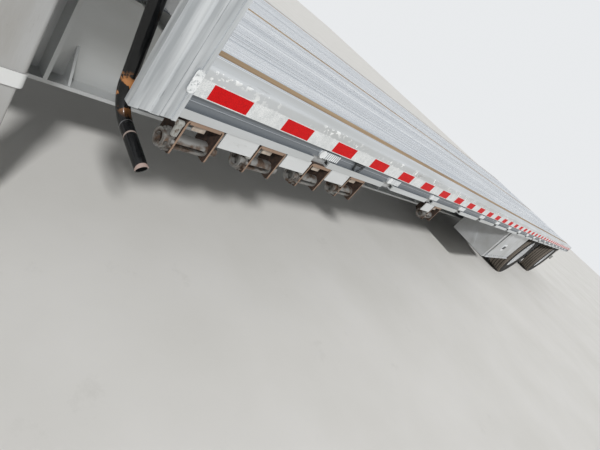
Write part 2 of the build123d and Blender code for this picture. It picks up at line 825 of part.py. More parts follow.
crank_corner_x = crank_shaft_x - crank_arm_lean
crank_corner_z = crank_shaft_z - crank_arm_length
crank_start = (crank_shaft_x, crank_arm_y, crank_shaft_z)
crank_corner = (crank_corner_x, crank_arm_y, crank_corner_z)
crank_end = (crank_corner_x - crank_grip_lean, side_y - crank_end_inset,
             crank_corner_z - crank_grip_drop)
with BuildPart() as crank_handle:
    with BuildLine() as crank_path:
        FilletPolyline(crank_start, crank_corner, crank_end, radius=crank_bend_radius)
    with BuildSketch(Plane(origin=crank_start, z_dir=crank_path.line % 0)):
        Circle(crank_radius)
        Circle(crank_radius - crank_wall, mode=Mode.SUBTRACT)
    sweep(path=crank_path.line)
    with BuildSketch(Plane.XZ.offset(-crank_boss_y)):
        with Locations((crank_shaft_x, crank_shaft_z)):
            Circle(crank_boss_radius)
    extrude(amount=-crank_boss_length)
keep(crank_handle.part, "crank_handle")

# Braces: a strut from each leg up to the third crossmember ahead, and a tie to the web
strut_foot_x = leg_x + leg_size / 2
strut_foot_z = leg_bottom_z + strut_foot_rise
strut_head_x = upper_crosses[-4] + strut_depth / 2
tie_z = leg_bottom_z + tie_rise
tie_inner_y = beam_y + beam_web / 2
with BuildPart() as landing_gear_braces:
    for side in (1, -1):
        with BuildSketch(Plane.XZ.offset(-side * leg_y - strut_width / 2)):
            with BuildLine():
                Polyline(
                    (strut_foot_x, strut_foot_z), (strut_head_x, neck_bottom_z),
                    (strut_head_x, neck_top_z), (strut_head_x - strut_depth, neck_top_z),
                    (strut_head_x - strut_depth, neck_bottom_z),
                    (strut_foot_x, strut_foot_z + strut_depth), close=True,
                )
            make_face()
        extrude(amount=strut_width)
        with Locations((leg_x, side * tie_inner_y, tie_z)):
            Box(tie_size, leg_y - leg_size / 2 - tie_inner_y, tie_size,
                align=(Align.CENTER, Align.MIN if side > 0 else Align.MAX, Align.CENTER))
keep(landing_gear_braces.part, "landing_gear_braces")

# Axles with their spindles
wheel_bore_y = inner_tyre_y - tyre_width / 2
spindle_end_y = dual_y + hub_length - hub_cap_wall - spindle_end_gap
with BuildPart() as axles:
    for axle_x in axle_xs:
        with BuildSketch(Plane.XZ.offset(-(wheel_bore_y - 70))):
            with Locations((axle_x, axle_z)):
                Circle(axle_tube_radius)
        extrude(amount=2 * (wheel_bore_y - 70))
        with BuildSketch(Plane.XZ.offset(-spindle_end_y)):
            with Locations((axle_x, axle_z)):
                Circle(spindle_radius)
        extrude(amount=2 * spindle_end_y)
keep(axles.part, "axles")

# Trailing arms, one under each beam at each axle
arm_pivot_z = axle_z + arm_pivot_rise
arm_tail_top_z = axle_z - arm_tail_drop
with BuildPart() as trailing_arms:
    for axle_x in axle_xs:
        nose = axle_x + arm_pivot_reach + arm_eye
        tail = axle_x - arm_tail_reach - arm_tail_overhang
        for side in (1, -1):
            with BuildSketch(Plane.XZ.offset(-side * beam_y - arm_thickness / 2)):
                with BuildLine():
                    Polyline(
                        (nose, arm_pivot_z + arm_eye), (axle_x + arm_seat_half, axle_z + arm_seat_depth),
                        (axle_x - arm_seat_half, axle_z + arm_seat_depth),
                        (axle_x - arm_seat_end, arm_tail_top_z), (tail, arm_tail_top_z),
                        (tail, arm_tail_top_z - arm_eye),
                        (axle_x - arm_seat_half, axle_z - arm_seat_depth),
                        (axle_x + arm_seat_half, axle_z - arm_seat_depth),
                        (nose, arm_pivot_z - arm_eye), close=True,
                    )
                make_face()
                with Locations((axle_x, axle_z)):
                    Circle(axle_tube_radius + fit_gap, mode=Mode.SUBTRACT)
                with Locations((axle_x + arm_pivot_reach, arm_pivot_z)):
                    Circle(pivot_radius + fit_gap, mode=Mode.SUBTRACT)
            extrude(amount=arm_thickness)
keep(trailing_arms.part, "trailing_arms")

# Hangers: two cheek plates under the beam with the arm's pivot pin
with BuildPart() as suspension_hangers:
    for axle_x in axle_xs:
        pivot_x = axle_x + arm_pivot_reach
        for side in (1, -1):
            half = arm_thickness / 2 + fit_gap
            for edge in (half, -half - hanger_plate):
                with BuildSketch(Plane.XZ.offset(-side * beam_y - edge - hanger_plate)):
                    with BuildLine():
                        Polyline(
                            (pivot_x + hanger_length / 2, axle_beam_bottom_z),
                            (pivot_x - hanger_length / 2, axle_beam_bottom_z),
                            (pivot_x - hanger_foot_length / 2, arm_pivot_z - hanger_lip),
                            (pivot_x + hanger_foot_length / 2, arm_pivot_z - hanger_lip),
                            close=True,
                        )
                    make_face()
                extrude(amount=hanger_plate)
            with BuildSketch(Plane.XZ.offset(-side * beam_y - half - hanger_plate)):
                with Locations((pivot_x, arm_pivot_z)):
                    Circle(pivot_radius)
            extrude(amount=2 * (half + hanger_plate))
keep(suspension_hangers.part, "suspension_hangers")

# Air springs: a tapered piston, a bellows that bulges over it and a top plate
with BuildPart() as air_springs:
    bellows_low = arm_tail_top_z + spring_piston_height
    bellows_high = axle_beam_bottom_z - spring_plate
    for axle_x in axle_xs:
        spring_x = axle_x - arm_tail_reach
        for side in (1, -1):
            with BuildSketch(Plane.XZ.offset(-side * beam_y)):
                with BuildLine():
                    Polyline(
                        (spring_x, arm_tail_top_z), (spring_x + spring_base_radius, arm_tail_top_z),
                        (spring_x + spring_neck_radius, bellows_low),
                    )
                    ThreePointArc(
                        (spring_x + spring_neck_radius, bellows_low),
                        (spring_x + spring_radius, (bellows_low + bellows_high) / 2),
                        (spring_x + spring_neck_radius, bellows_high),
                    )
                    Polyline(
                        (spring_x + spring_neck_radius, bellows_high),
                        (spring_x + spring_base_radius, bellows_high),
                        (spring_x + spring_base_radius, axle_beam_bottom_z),
                        (spring_x, axle_beam_bottom_z), (spring_x, arm_tail_top_z),
                    )
                make_face()
            revolve(axis=Axis((spring_x, side * beam_y, 0), (0, 0, 1)))
keep(air_springs.part, "air_springs")

chamber_y = beam_y - chamber_inset
with BuildPart() as brake_chambers:
    for axle_x in axle_xs:
        chamber_x = axle_x - axle_tube_radius - chamber_radius - chamber_gap
        for side in (1, -1):
            # The chamber and the clamp band round its middle
            for radius, length in (
                (chamber_radius, chamber_length), (chamber_radius + chamber_band, chamber_band_length)
            ):
                with BuildSketch(Plane.XZ.offset(-side * chamber_y - length / 2)):
                    with Locations((chamber_x, axle_z + chamber_rise)):
                        Circle(radius)
                extrude(amount=length)
            with Locations((axle_x - axle_tube_radius - fit_gap, side * chamber_y, axle_z)):
                Box(chamber_bracket_depth, chamber_bracket, chamber_bracket,
                    align=(Align.MAX, Align.CENTER, Align.CENTER))
keep(brake_chambers.part, "brake_chambers")

tank_x = front_axle_x + tank_lead
with BuildPart() as air_tanks:
    for x in (tank_x, tank_x - tank_length - tank_gap):
        with BuildSketch(Plane.YZ.offset(x)):
            with Locations((0, beam_top_z - tank_radius)):
                Circle(tank_radius)
        extrude(amount=tank_length)
keep(air_tanks.part, "air_tanks")

# Wheels: tyres in section across the wheel's axis
half_tread = tyre_width / 2 - 22
bead_half = tyre_width / 2 - 20


def tyre_profile(centre_z, centre_y):
    """Half section of one tyre, radius in Z, width in Y."""
    with BuildSketch() as section:
        with BuildLine():
            Polyline(
                (centre_y + half_tread - 30, centre_z + tyre_radius),
                (centre_y + half_tread, centre_z + tyre_radius - 3),
                (centre_y + half_tread + 12, centre_z + tyre_radius - 20),
                (centre_y + tyre_width / 2, centre_z + tyre_sidewall_radius - 20),
                (centre_y + bead_half, centre_z + tyre_bead_radius),
                (centre_y - bead_half, centre_z + tyre_bead_radius),
                (centre_y - tyre_width / 2, centre_z + tyre_sidewall_radius - 20),
                (centre_y - half_tread - 12, centre_z + tyre_radius - 20),
                (centre_y - half_tread, centre_z + tyre_radius - 3),
                (centre_y - half_tread + 30, centre_z + tyre_radius), close=True,
            )
        make_face()
    return section.sketch


# Wheel sets: name, axle place, side
wheel_sets = [
    (f"{place}_{name}", axle_x, side)
    for place, axle_x in zip(("front", "rear"), axle_xs)
    for name, side in sides
]
for name, axle_x, side in wheel_sets:
    wheel_axis = Axis((axle_x, 0, axle_z), (0, 1, 0))
    section = Plane.YZ.offset(axle_x)
    with BuildPart() as tyres:
        with BuildSketch(section):
            for centre_y in (side * outer_tyre_y, side * inner_tyre_y):
                add(tyre_profile(axle_z, centre_y))
        revolve(axis=wheel_axis)
    keep(tyres.part, f"{name}_tyres")

    with BuildPart() as wheel:
        for centre_y, disc_y in (
            (outer_tyre_y, dual_y), (inner_tyre_y, dual_y),
        ):
            outward = 1 if centre_y > dual_y else -1
            with BuildSketch(section):
                with BuildLine():
                    lip = bead_half - 4
                    Polyline(
                        (side * (centre_y - lip), axle_z + rim_radius),
                        (side * (centre_y + lip), axle_z + rim_radius),
                        (side * (centre_y + lip), axle_z + rim_radius - rim_wall),
                        (side * (centre_y - lip), axle_z + rim_radius - rim_wall), close=True,
                    )
                make_face()
                with BuildLine():
                    edge = centre_y - outward * 60
                    Polyline(
                        (side * disc_y, axle_z + hub_radius + fit_gap),
                        (side * (disc_y + outward * disc_thickness), axle_z + hub_radius + fit_gap),
                        (side * (disc_y + outward * disc_thickness), axle_z + disc_bolt_radius + 30),
                        (side * edge, axle_z + rim_radius - rim_wall),
                        (side * (edge - outward * disc_thickness), axle_z + rim_radius - rim_wall),
                        (side * disc_y, axle_z + disc_bolt_radius + 40), close=True,
                    )
                make_face()
            revolve(axis=wheel_axis)
        # Hand holes through both discs
        with BuildSketch(Plane.XZ.offset(-side * dual_y - dual_spacing / 2)):
            with Locations((axle_x, axle_z)):
                with PolarLocations(hand_hole_ring, hand_hole_count):
                    Circle(hand_hole_radius)
        extrude(amount=dual_spacing, mode=Mode.SUBTRACT)
    keep(wheel.part, f"{name}_wheel")

    with BuildPart() as hub:
        mount_y = dual_y - disc_thickness - fit_gap
        drum_outer_y = mount_y - drum_shoulder
        drum_inner_y = drum_outer_y - drum_width
        bore = spindle_radius + bearing_clearance
        with BuildSketch(section):
            with BuildLine():
                Polyline(
                    (side * (dual_y + hub_length - hub_cap_wall), axle_z + bore),
                    (side * (dual_y + hub_length - hub_cap_wall), axle_z),
                    (side * (dual_y + hub_length), axle_z),
                    (side * (dual_y + hub_length), axle_z + hub_radius - 20),
                    (side * (dual_y + disc_thickness + 5), axle_z + hub_radius),
                    (side * mount_y, axle_z + hub_radius),
                    (side * mount_y, axle_z + disc_bolt_radius + 20),
                    (side * drum_outer_y, axle_z + drum_radius),
                    (side * drum_inner_y, axle_z + drum_radius),
                    (side * drum_inner_y, axle_z + drum_radius - drum_wall),
                    (side * (drum_outer_y - drum_wall), axle_z + drum_radius - drum_wall),
                    (side * (mount_y - drum_wall), axle_z + disc_bolt_radius),
                    (side * (mount_y - drum_wall), axle_z + hub_radius),
                    (side * (drum_inner_y + 40), axle_z + hub_radius - 10),
                    (side * (drum_inner_y + 40), axle_z + bore), close=True,
                )
            make_face()
        revolve(axis=wheel_axis)
    keep(hub.part, f"{name}_hub")

# Toolboxes ahead of the front axle, with drop-down doors hinged along their lower edge
box_front_x = front_axle_x + box_lead
box_rear_x = box_front_x - box_length
box_outer_y = side_y - box_inset
box_inner_y = box_outer_y - box_depth
box_top_z = beam_top_z
box_bottom_z = box_top_z - box_height
strap_low_y = box_outer_y - strap_low_inset
strap_high_y = box_inner_y + strap_width
door_bottom_z = box_bottom_z + 3 * hinge_radius
door_height = box_height - door_top_margin
door_front_x = box_front_x - box_corner
door_rear_x = box_rear_x + box_rear_margin
hinge_z = box_bottom_z + 1.5 * hinge_radius
hinge_y = box_outer_y + hinge_radius + door_gap - 1
opening_length = door_front_x - door_rear_x
hinge_lug_xs = [door_rear_x + opening_length * share for share in (0.1, 0.5, 0.9)]
for name, side in sides:
    with BuildPart() as toolbox:
        with Locations(((box_front_x + box_rear_x) / 2, side * (box_outer_y + box_inner_y) / 2,
                        box_bottom_z)):
            Box(box_length, box_depth, box_top_z - box_bottom_z,
                align=(Align.CENTER, Align.CENTER, Align.MIN))
        with Locations(((box_front_x + box_rear_x) / 2, side * (box_outer_y + box_inner_y) / 2,
                        box_bottom_z + box_wall)):
            Box(box_length - 2 * box_wall, box_depth - 2 * box_wall,
                box_top_z - box_bottom_z - 2 * box_wall,
                align=(Align.CENTER, Align.CENTER, Align.MIN), mode=Mode.SUBTRACT)
        with Locations(((door_front_x + door_rear_x) / 2, side * box_outer_y,
                        door_bottom_z + door_sill)):
            Box(opening_length - 2 * door_lap, 3 * box_wall, door_height - 3 * door_lap,
                align=(Align.CENTER, Align.CENTER, Align.MIN), mode=Mode.SUBTRACT)
        # Strap that hangs the box, across its front end
        with BuildSketch(Plane.YZ.offset(box_front_x)):
            with BuildLine():
                Polyline(
                    (side * strap_low_y, box_bottom_z),
                    (side * (strap_low_y - strap_width), box_bottom_z),
                    (side * (strap_high_y - strap_width), box_top_z),
                    (side * strap_high_y, box_top_z), close=True,
                )
            make_face()
        extrude(amount=strap_thickness)
        for lug_x in hinge_lug_xs:
            with BuildSketch(Plane.YZ.offset(lug_x - hinge_lug / 2)):
                with Locations((side * hinge_y, hinge_z)):
                    Circle(hinge_radius)
                with Locations((side * (box_outer_y + hinge_y) / 2, hinge_z)):
                    Rectangle(hinge_y - box_outer_y, 2 * hinge_radius)
            extrude(amount=hinge_lug)
        with BuildSketch(Plane.YZ.offset(door_rear_x)):
            with Locations((side * hinge_y, hinge_z)):
                Circle(hinge_pin_radius)
        extrude(amount=opening_length)
    keep(toolbox.part, f"{name}_toolbox")

    with BuildPart() as door:
        with Locations(((door_front_x + door_rear_x) / 2,
                        side * (box_outer_y + door_gap + door_thickness / 2), hinge_z)):
            Box(opening_length, door_thickness, door_height,
                align=(Align.CENTER, Align.CENTER, Align.MIN))
        for lug_x in hinge_lug_xs:
            with Locations((lug_x, side * (box_outer_y + door_gap), hinge_z)):
                Box(hinge_lug + 2 * hinge_end_gap, 60, 4 * hinge_radius, mode=Mode.SUBTRACT)
        with BuildSketch(Plane.YZ.offset(door_rear_x)):
            with Locations((side * hinge_y, hinge_z)):
                Circle(hinge_radius)
        extrude(amount=opening_length)
        for lug_x in hinge_lug_xs:
            with Locations((lug_x, side * hinge_y, hinge_z)):
                Box(hinge_lug + 2 * hinge_end_gap, 4 * hinge_radius, 4 * hinge_radius,
                    mode=Mode.SUBTRACT)
        with BuildSketch(Plane.YZ.offset(door_rear_x)):
            with Locations((side * hinge_y, hinge_z)):
                Circle(hinge_pin_radius + hinge_clearance)
        extrude(amount=opening_length, mode=Mode.SUBTRACT)
    keep(door.part, f"{name}_toolbox_door")

# Rear underride guard: a cross tube on two uprights from the main beams
with BuildPart() as underride_guard:
    guard_x = lower_rear_x
    with Locations((guard_x, 0, guard_bottom_z)):
        Box(guard_tube, overall_width - 2 * guard_inset, guard_tube,
            align=(Align.MIN, Align.CENTER, Align.MIN))
    for side in (1, -1):
        with Locations((guard_x, side * beam_y, guard_bottom_z + guard_tube)):
            Box(guard_tube, guard_tube, axle_beam_bottom_z - guard_bottom_z - guard_tube,
                align=(Align.MIN, Align.CENTER, Align.MIN))
keep(underride_guard.part, "underride_guard")

# Mud flaps behind the rear wheels, on bars that reach out from the beam webs
flap_x = rear_axle_x - tyre_radius - flap_gap
flap_top_z = beam_top_z - flap_bar_drop
flap_inner_y = side_y - flap_inset - flap_width
bar_inner_y = beam_y + beam_web / 2
bar_outer_y = flap_inner_y + flap_width
with BuildPart() as mud_flap_bars:
    for side in (1, -1):
        with Locations((flap_x, side * bar_inner_y, flap_top_z)):
            Box(flap_bar, bar_outer_y - bar_inner_y, flap_bar,
                align=(Align.MIN, Align.MIN if side > 0 else Align.MAX, Align.MAX))
keep(mud_flap_bars.part, "mud_flap_bars")

with BuildPart() as mud_flaps:
    for side in (1, -1):
        with Locations((flap_x, side * flap_inner_y, flap_top_z)):
            Box(flap_thickness, flap_width, flap_top_z - flap_bottom_z,
                align=(Align.MAX, Align.MIN if side > 0 else Align.MAX, Align.MAX))
keep(mud_flaps.part, "mud_flaps")

# Rear lamps, flush in the sill
with BuildPart() as rear_lamps:
    with BuildSketch(Plane.YZ.offset(rear_x)):
        lamp_circles(0)
    extrude(amount=lamp_depth)
keep(rear_lamps.part, "rear_lamps")
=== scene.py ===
from math import cos, pi, radians, sin

import bmesh
import bpy
from mathutils import Matrix, Quaternion, Vector


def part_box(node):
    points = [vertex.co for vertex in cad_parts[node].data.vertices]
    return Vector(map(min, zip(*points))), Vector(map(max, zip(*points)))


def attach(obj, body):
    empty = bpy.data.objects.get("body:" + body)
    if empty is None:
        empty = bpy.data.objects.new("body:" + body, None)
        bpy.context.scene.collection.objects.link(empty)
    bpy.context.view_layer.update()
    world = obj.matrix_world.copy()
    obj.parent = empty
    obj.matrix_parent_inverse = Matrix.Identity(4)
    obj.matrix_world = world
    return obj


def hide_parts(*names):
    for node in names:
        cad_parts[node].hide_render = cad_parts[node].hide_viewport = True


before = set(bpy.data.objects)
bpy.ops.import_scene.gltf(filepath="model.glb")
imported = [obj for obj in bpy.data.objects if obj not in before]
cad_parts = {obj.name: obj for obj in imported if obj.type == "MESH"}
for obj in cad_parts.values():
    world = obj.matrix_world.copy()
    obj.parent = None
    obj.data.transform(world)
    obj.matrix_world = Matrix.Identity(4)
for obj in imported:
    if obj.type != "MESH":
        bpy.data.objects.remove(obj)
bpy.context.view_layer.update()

# Camera: held at chest height beside the step, tipped down and rolled well over, so that the
# rail runs across the picture from top left to bottom right.
photo_width = 600
focal_pixels = 423.35
sensor_width = 36
nearest_seen = 0.05
farthest_seen = 200
eye = Vector((4.937, 2.1595, 1.254))
heading = radians(209.653)
tip = radians(-22.557)
roll = radians(41.83)

look = Vector((cos(tip) * cos(heading), cos(tip) * sin(heading), sin(tip)))
camera = bpy.data.objects.new("camera", bpy.data.cameras.new("camera"))
bpy.context.scene.collection.objects.link(camera)
camera.data.sensor_width = sensor_width
camera.data.lens = focal_pixels / photo_width * sensor_width
camera.data.clip_start = nearest_seen
camera.data.clip_end = farthest_seen
camera.location = eye
camera.rotation_mode = "QUATERNION"
camera.rotation_quaternion = look.to_track_quat("-Z", "Y") @ Quaternion((0, 0, 1), roll)
bpy.context.scene.camera = camera
bpy.context.scene.view_settings.view_transform = "Standard"

# Studio: an even pale room with one wide lamp ahead of the trailer, to its left and above.
# The floor is a smooth pale sheet that takes a soft shadow and isn't part of the trailer.
room_colour = "#eef0f2"
room_light = 0.52
room_shown = 0.95
sun_strength = 2.5
sun_width = radians(6)
sun_from = Vector((0.53, 0.757, 0.71))


def linear(code):
    """Turns an sRGB hex colour to the linear colour that a shader takes."""
    parts = [int(code[i:i + 2], 16) / 255 for i in (1, 3, 5)]
    return [p / 12.92 if p <= 0.04045 else ((p + 0.055) / 1.055) ** 2.4 for p in parts] + [1]


def add_node(tree, kind, inputs=None, **settings):
    """Adds a shader node. An input is a value or the output that feeds it."""
    made = tree.nodes.new(kind)
    for key, value in settings.items():
        setattr(made, key, value)
    for key, value in (inputs or {}).items():
        if isinstance(value, bpy.types.NodeSocket):
            tree.links.new(value, made.inputs[key])
        else:
            made.inputs[key].default_value = value
    return made


world = bpy.data.worlds.new("studio")
bpy.context.scene.world = world
world.use_nodes = True
room = world.node_tree
room.nodes.clear()
ray = add_node(room, "ShaderNodeLightPath")
seen = add_node(room, "ShaderNodeMath",
                {0: ray.outputs["Is Camera Ray"], 1: ray.outputs["Is Glossy Ray"]},
                operation="MAXIMUM")
lit = add_node(room, "ShaderNodeBackground",
               {"Color": linear(room_colour), "Strength": room_light})
shown = add_node(room, "ShaderNodeBackground",
                 {"Color": linear(room_colour), "Strength": room_shown})
either = add_node(room, "ShaderNodeMixShader",
                  {0: seen.outputs[0], 1: lit.outputs[0], 2: shown.outputs[0]})
add_node(room, "ShaderNodeOutputWorld", {"Surface": either.outputs[0]})

sun = bpy.data.objects.new("sun", bpy.data.lights.new("sun", "SUN"))
sun.data.energy = sun_strength
sun.data.angle = sun_width
sun.rotation_mode = "QUATERNION"
sun.rotation_quaternion = sun_from.to_track_quat("Z", "Y")
bpy.context.scene.collection.objects.link(sun)

floor_half = 45
dust_starts = 0.35
dust_full = 0.65
specks_a_patch = 3.5
stain_fade = 0.14


def weathered(name, fresh, dusty, stained, metallic, roughness, patch_mm, stretch=(1, 1, 1),
              pit_mm=5, depth_mm=0.25, stain_starts=0.62):
    """A finish with a film of dust, stains and a fine relief, drawn out along an axis by stretch.

    Gives back the material, its tree, its shader, the place on the object and the colour."""
    finish = bpy.data.materials.new(name)
    finish.use_nodes = True
    tree = finish.node_tree
    shader = tree.nodes["Principled BSDF"]
    shader.inputs["Metallic"].default_value = metallic
    shader.inputs["Roughness"].default_value = roughness
    place = add_node(tree, "ShaderNodeTexCoord").outputs["Object"]
    laid = add_node(tree, "ShaderNodeMapping",
                    {"Vector": place, "Scale": [1 / s for s in stretch]}).outputs[0]
    cloud = add_node(tree, "ShaderNodeTexNoise",
                     {"Vector": laid, "Scale": 1000 / patch_mm, "Detail": 8})
    film = add_node(tree, "ShaderNodeMapRange",
                    {"Value": cloud.outputs[0], "From Min": dust_starts, "From Max": dust_full})
    speck = add_node(tree, "ShaderNodeTexNoise",
                     {"Vector": laid, "Scale": 1000 * specks_a_patch / patch_mm, "Detail": 8,
                      "Roughness": 0.7})
    stains = add_node(tree, "ShaderNodeMapRange",
                      {"Value": speck.outputs[0], "From Min": stain_starts,
                       "From Max": stain_starts + stain_fade})
    colour = add_node(tree, "ShaderNodeMix",
                      {0: film.outputs[0], 6: linear(fresh), 7: linear(dusty)},
                      data_type="RGBA").outputs[2]
    colour = add_node(tree, "ShaderNodeMix",
                      {0: stains.outputs[0], 6: colour, 7: linear(stained)},
                      data_type="RGBA").outputs[2]
    tree.links.new(colour, shader.inputs["Base Color"])
    pits = add_node(tree, "ShaderNodeTexNoise",
                    {"Vector": laid, "Scale": 1000 / pit_mm, "Detail": 4})
    relief = add_node(tree, "ShaderNodeBump",
                      {"Height": pits.outputs[0], "Distance": depth_mm / 1000, "Strength": 1})
    tree.links.new(relief.outputs[0], shader.inputs["Normal"])
    return finish, tree, shader, place, colour


floor_finish = weathered("matt_pale_paper", "#dcdad6", "#d5d3ce", "#d0cec9", metallic=0,
                         roughness=0.95, patch_mm=900)[0]
shape = bmesh.new()
bmesh.ops.create_grid(shape, x_segments=1, y_segments=1, size=floor_half)
mesh = bpy.data.meshes.new("floor")
shape.to_mesh(mesh)
shape.free()
mesh.materials.append(floor_finish)
floor = bpy.data.objects.new("floor", mesh)
bpy.context.scene.collection.objects.link(floor)

# Deck floors and step panel: planks of extruded aluminium with fine ribs along them, welded side
# by side. The grooves between the ribs are painted darker as shade, and the same mask dents them.
rib_pitch = 0.013
rib_height = 0.001
gap_starts = 0.34
gap_full = 0.16


def dress(names, finish):
    """Gives CAD nodes a finish."""
    for name in names:
        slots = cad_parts[name].data.materials
        slots.clear()
        slots.append(finish)


deck_finish, tree, shader, place, colour = weathered(
    "worn_extruded_aluminium", "#f0f2f4", "#c6cbd1", "#b9b8b4", metallic=0.5, roughness=0.45,
    patch_mm=44, stretch=(60, 1, 1))
across = add_node(tree, "ShaderNodeSeparateXYZ", {0: place}).outputs["Y"]
turns = add_node(tree, "ShaderNodeMath", {0: across, 1: 2 / rib_pitch}, operation="MULTIPLY")
within = add_node(tree, "ShaderNodeMath", {0: turns.outputs[0], 1: 1}, operation="PINGPONG")
# Colour between the ribs is painted darker, as shade in the grooves.
gap = add_node(tree, "ShaderNodeMapRange",
               {"Value": within.outputs[0], "From Min": gap_starts, "From Max": gap_full})
ribbed = add_node(tree, "ShaderNodeMix",
                  {0: gap.outputs[0], 6: colour, 7: linear("#80858b")}, data_type="RGBA")
tree.links.new(ribbed.outputs[2], shader.inputs["Base Color"])
relief = add_node(tree, "ShaderNodeBump",
                  {"Height": gap.outputs[0], "Distance": rib_height, "Strength": 0.4},
                  invert=True)
tree.links.new(relief.outputs[0], shader.inputs["Normal"])
dress(["lower_deck_floor", "upper_deck_floor"], deck_finish)
# The panel is the same metal set upright; it is painted darker than the deck, as shade on an
# upright face, and rain has marked it downwards.
panel_finish = weathered("ribbed_panel_aluminium", "#ced0d2", "#bfc0c0", "#a5a39e", metallic=0.5,
                         roughness=0.42, patch_mm=150, stretch=(1, 1, 5))[0]
dress(["step_panel"], panel_finish)

# Nailers: strips of hardwood let into the deck for nailing down dunnage, dried tan by the sun.
# Grain 6 mm wide runs along them, with darker boards here and there.
wood_finish = weathered("sun_dried_hardwood", "#a8906f", "#8a7154", "#6a5440", metallic=0,
                        roughness=0.85, patch_mm=22, stretch=(30, 1, 1), pit_mm=6,
                        depth_mm=1.2)[0]
dress(["nailers"], wood_finish)

# Side rails, nose rail and rear sill: one deep extrusion round each deck, mill finish. Its groove
# is painted darker, as shade in the recess and road dirt, with a paler line along its middle, and
# chips of white paint are left between the tape and the deck.
groove_middle = 0.1095
groove_half = 0.0215
groove_rib = 0.0018
chip_middle = 0.024
chip_half = 0.018
chip_mm = 14
chip_starts = 0.54
chip_full = 0.6
fields_a_metre = 9
field_starts = 0.45
field_full = 0.6


def away_from(tree, along, middle):
    """Gives how far a point lies from middle along one axis."""
    offset = add_node(tree, "ShaderNodeMath", {0: along, 1: middle}, operation="SUBTRACT")
    return add_node(tree, "ShaderNodeMath", {0: offset.outputs[0]},
                    operation="ABSOLUTE").outputs[0]


def rail_finish(name, deck_z):
    """Mill aluminium with its groove below that deck painted darker as shade and dirt, and paint
    chips near its top.
    """
    finish, tree, shader, place, colour = weathered(
        name, "#cdd0d2", "#bcbebd", "#9b9a96", metallic=0.5, roughness=0.45, patch_mm=160,
        stretch=(5, 1, 1))
    height = add_node(tree, "ShaderNodeSeparateXYZ", {0: place}).outputs["Z"]
    flakes = add_node(tree, "ShaderNodeTexNoise",
                      {"Vector": place, "Scale": 1000 / chip_mm, "Detail": 6})
    flakes = add_node(tree, "ShaderNodeMapRange",
                      {"Value": flakes.outputs[0], "From Min": chip_starts,
                       "From Max": chip_full})
    fields = add_node(tree, "ShaderNodeTexNoise",
                      {"Vector": place, "Scale": fields_a_metre, "Detail": 2})
    fields = add_node(tree, "ShaderNodeMapRange",
                      {"Value": fields.outputs[0], "From Min": field_starts,
                       "From Max": field_full})
    chips = add_node(tree, "ShaderNodeMath", {0: flakes.outputs[0], 1: fields.outputs[0]},
                     operation="MULTIPLY")
    # The two groove bands paint shade and road dirt; the last band is chipped white paint.
    # Each band's middle below the deck, half its height, its colour and how much it covers.
    for depth, half, code, cover in ((groove_middle, groove_half, "#7b8085", 1),
                                     (groove_middle, groove_rib, "#b0b4b8", 1),
                                     (chip_middle, chip_half, "#f4f5f4", chips.outputs[0])):
        away = away_from(tree, height, deck_z - depth)
        band = add_node(tree, "ShaderNodeMath", {0: away, 1: half}, operation="LESS_THAN")
        band = add_node(tree, "ShaderNodeMath", {0: band.outputs[0], 1: cover},
                        operation="MULTIPLY")
        colour = add_node(tree, "ShaderNodeMix",
                          {0: band.outputs[0], 6: colour, 7: linear(code)},
                          data_type="RGBA").outputs[2]
    tree.links.new(colour, shader.inputs["Base Color"])
    return finish


lower_low, lower_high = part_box("lower_side_rails")
upper_low, upper_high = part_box("upper_side_rails")
side_y = lower_high.y
dress(["lower_side_rails", "rear_sill"], rail_finish("rail_aluminium_groove_dirt_and_shade_lower", lower_high.z))
dress(["upper_side_rails", "nose_rail"], rail_finish("rail_aluminium_groove_dirt_and_shade_upper", upper_high.z))

# Rail end caps: plates painted white that close each lower rail's front end and lap over the
# side post, with rounded corners. The paint is chipped to bare metal.
cap_lap = 0.026
cap_height = 0.068
cap_drop = 0.02
cap_corner = 0.011
cap_thickness = side_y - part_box("riser_posts")[1].y
parallel_enough = 0.9
sharp_angle = radians(35)


def add_block(shape, centre, size, edge=0.0, along=None, steps=2):
    """Adds a box with its edges rounded by edge, or only those that run along one axis."""
    seat = Matrix.Translation(centre) @ Matrix.Diagonal((*size, 1))
    made = bmesh.ops.create_cube(shape, size=1, matrix=seat)
    if edge:
        lines = {line for corner in made["verts"] for line in corner.link_edges}
        if along is not None:
            lines = {line for line in lines
                     if abs((line.verts[0].co - line.verts[1].co).normalized()[along])
                     > parallel_enough}
        bmesh.ops.bevel(shape, geom=list(lines), offset=edge, segments=steps, profile=0.5,
                        affect="EDGES", material=-1)


def add_piece(name, shape, finish, body="trailer"):
    """Makes a bmesh a finished piece that rides on a body."""
    bmesh.ops.recalc_face_normals(shape, faces=shape.faces)
    for face in shape.faces:
        face.smooth = True
    mesh = bpy.data.meshes.new(name)
    shape.to_mesh(mesh)
    shape.free()
    mesh.set_sharp_from_angle(angle=sharp_angle)
    mesh.materials.append(finish)
    piece = bpy.data.objects.new(name, mesh)
    bpy.context.scene.collection.objects.link(piece)
    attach(piece, body)
    return piece


cap_finish = weathered("chipped_white_paint", "#eceded", "#d3d6d6", "#8f9497", metallic=0,
                       roughness=0.5, patch_mm=34, stain_starts=0.5)[0]
caps = bmesh.new()
for side in (1, -1):
    add_block(caps, (lower_high.x + cap_lap / 2, side * (side_y - cap_thickness / 2),
                     lower_high.z - cap_drop - cap_height / 2),
              (cap_lap, cap_thickness, cap_height), cap_corner, along=1, steps=4)
add_piece("rail_end_caps", caps, cap_finish)

# Safety tape: a retroreflective strip 2 in high along the rails' faces, in blocks of 6 in. Sealed
# cells give it a fine mesh, and each red block is printed inside a thin pale border.
tape_height = 0.0508
tape_block = 0.1524
tape_skin = 0.00012
tape_border = 0.003
tape_low = 0.088
first_white = 0.038
cell_mm = 6
seam_starts = 0.12
seam_full = 0.03
seam_share = 0.6


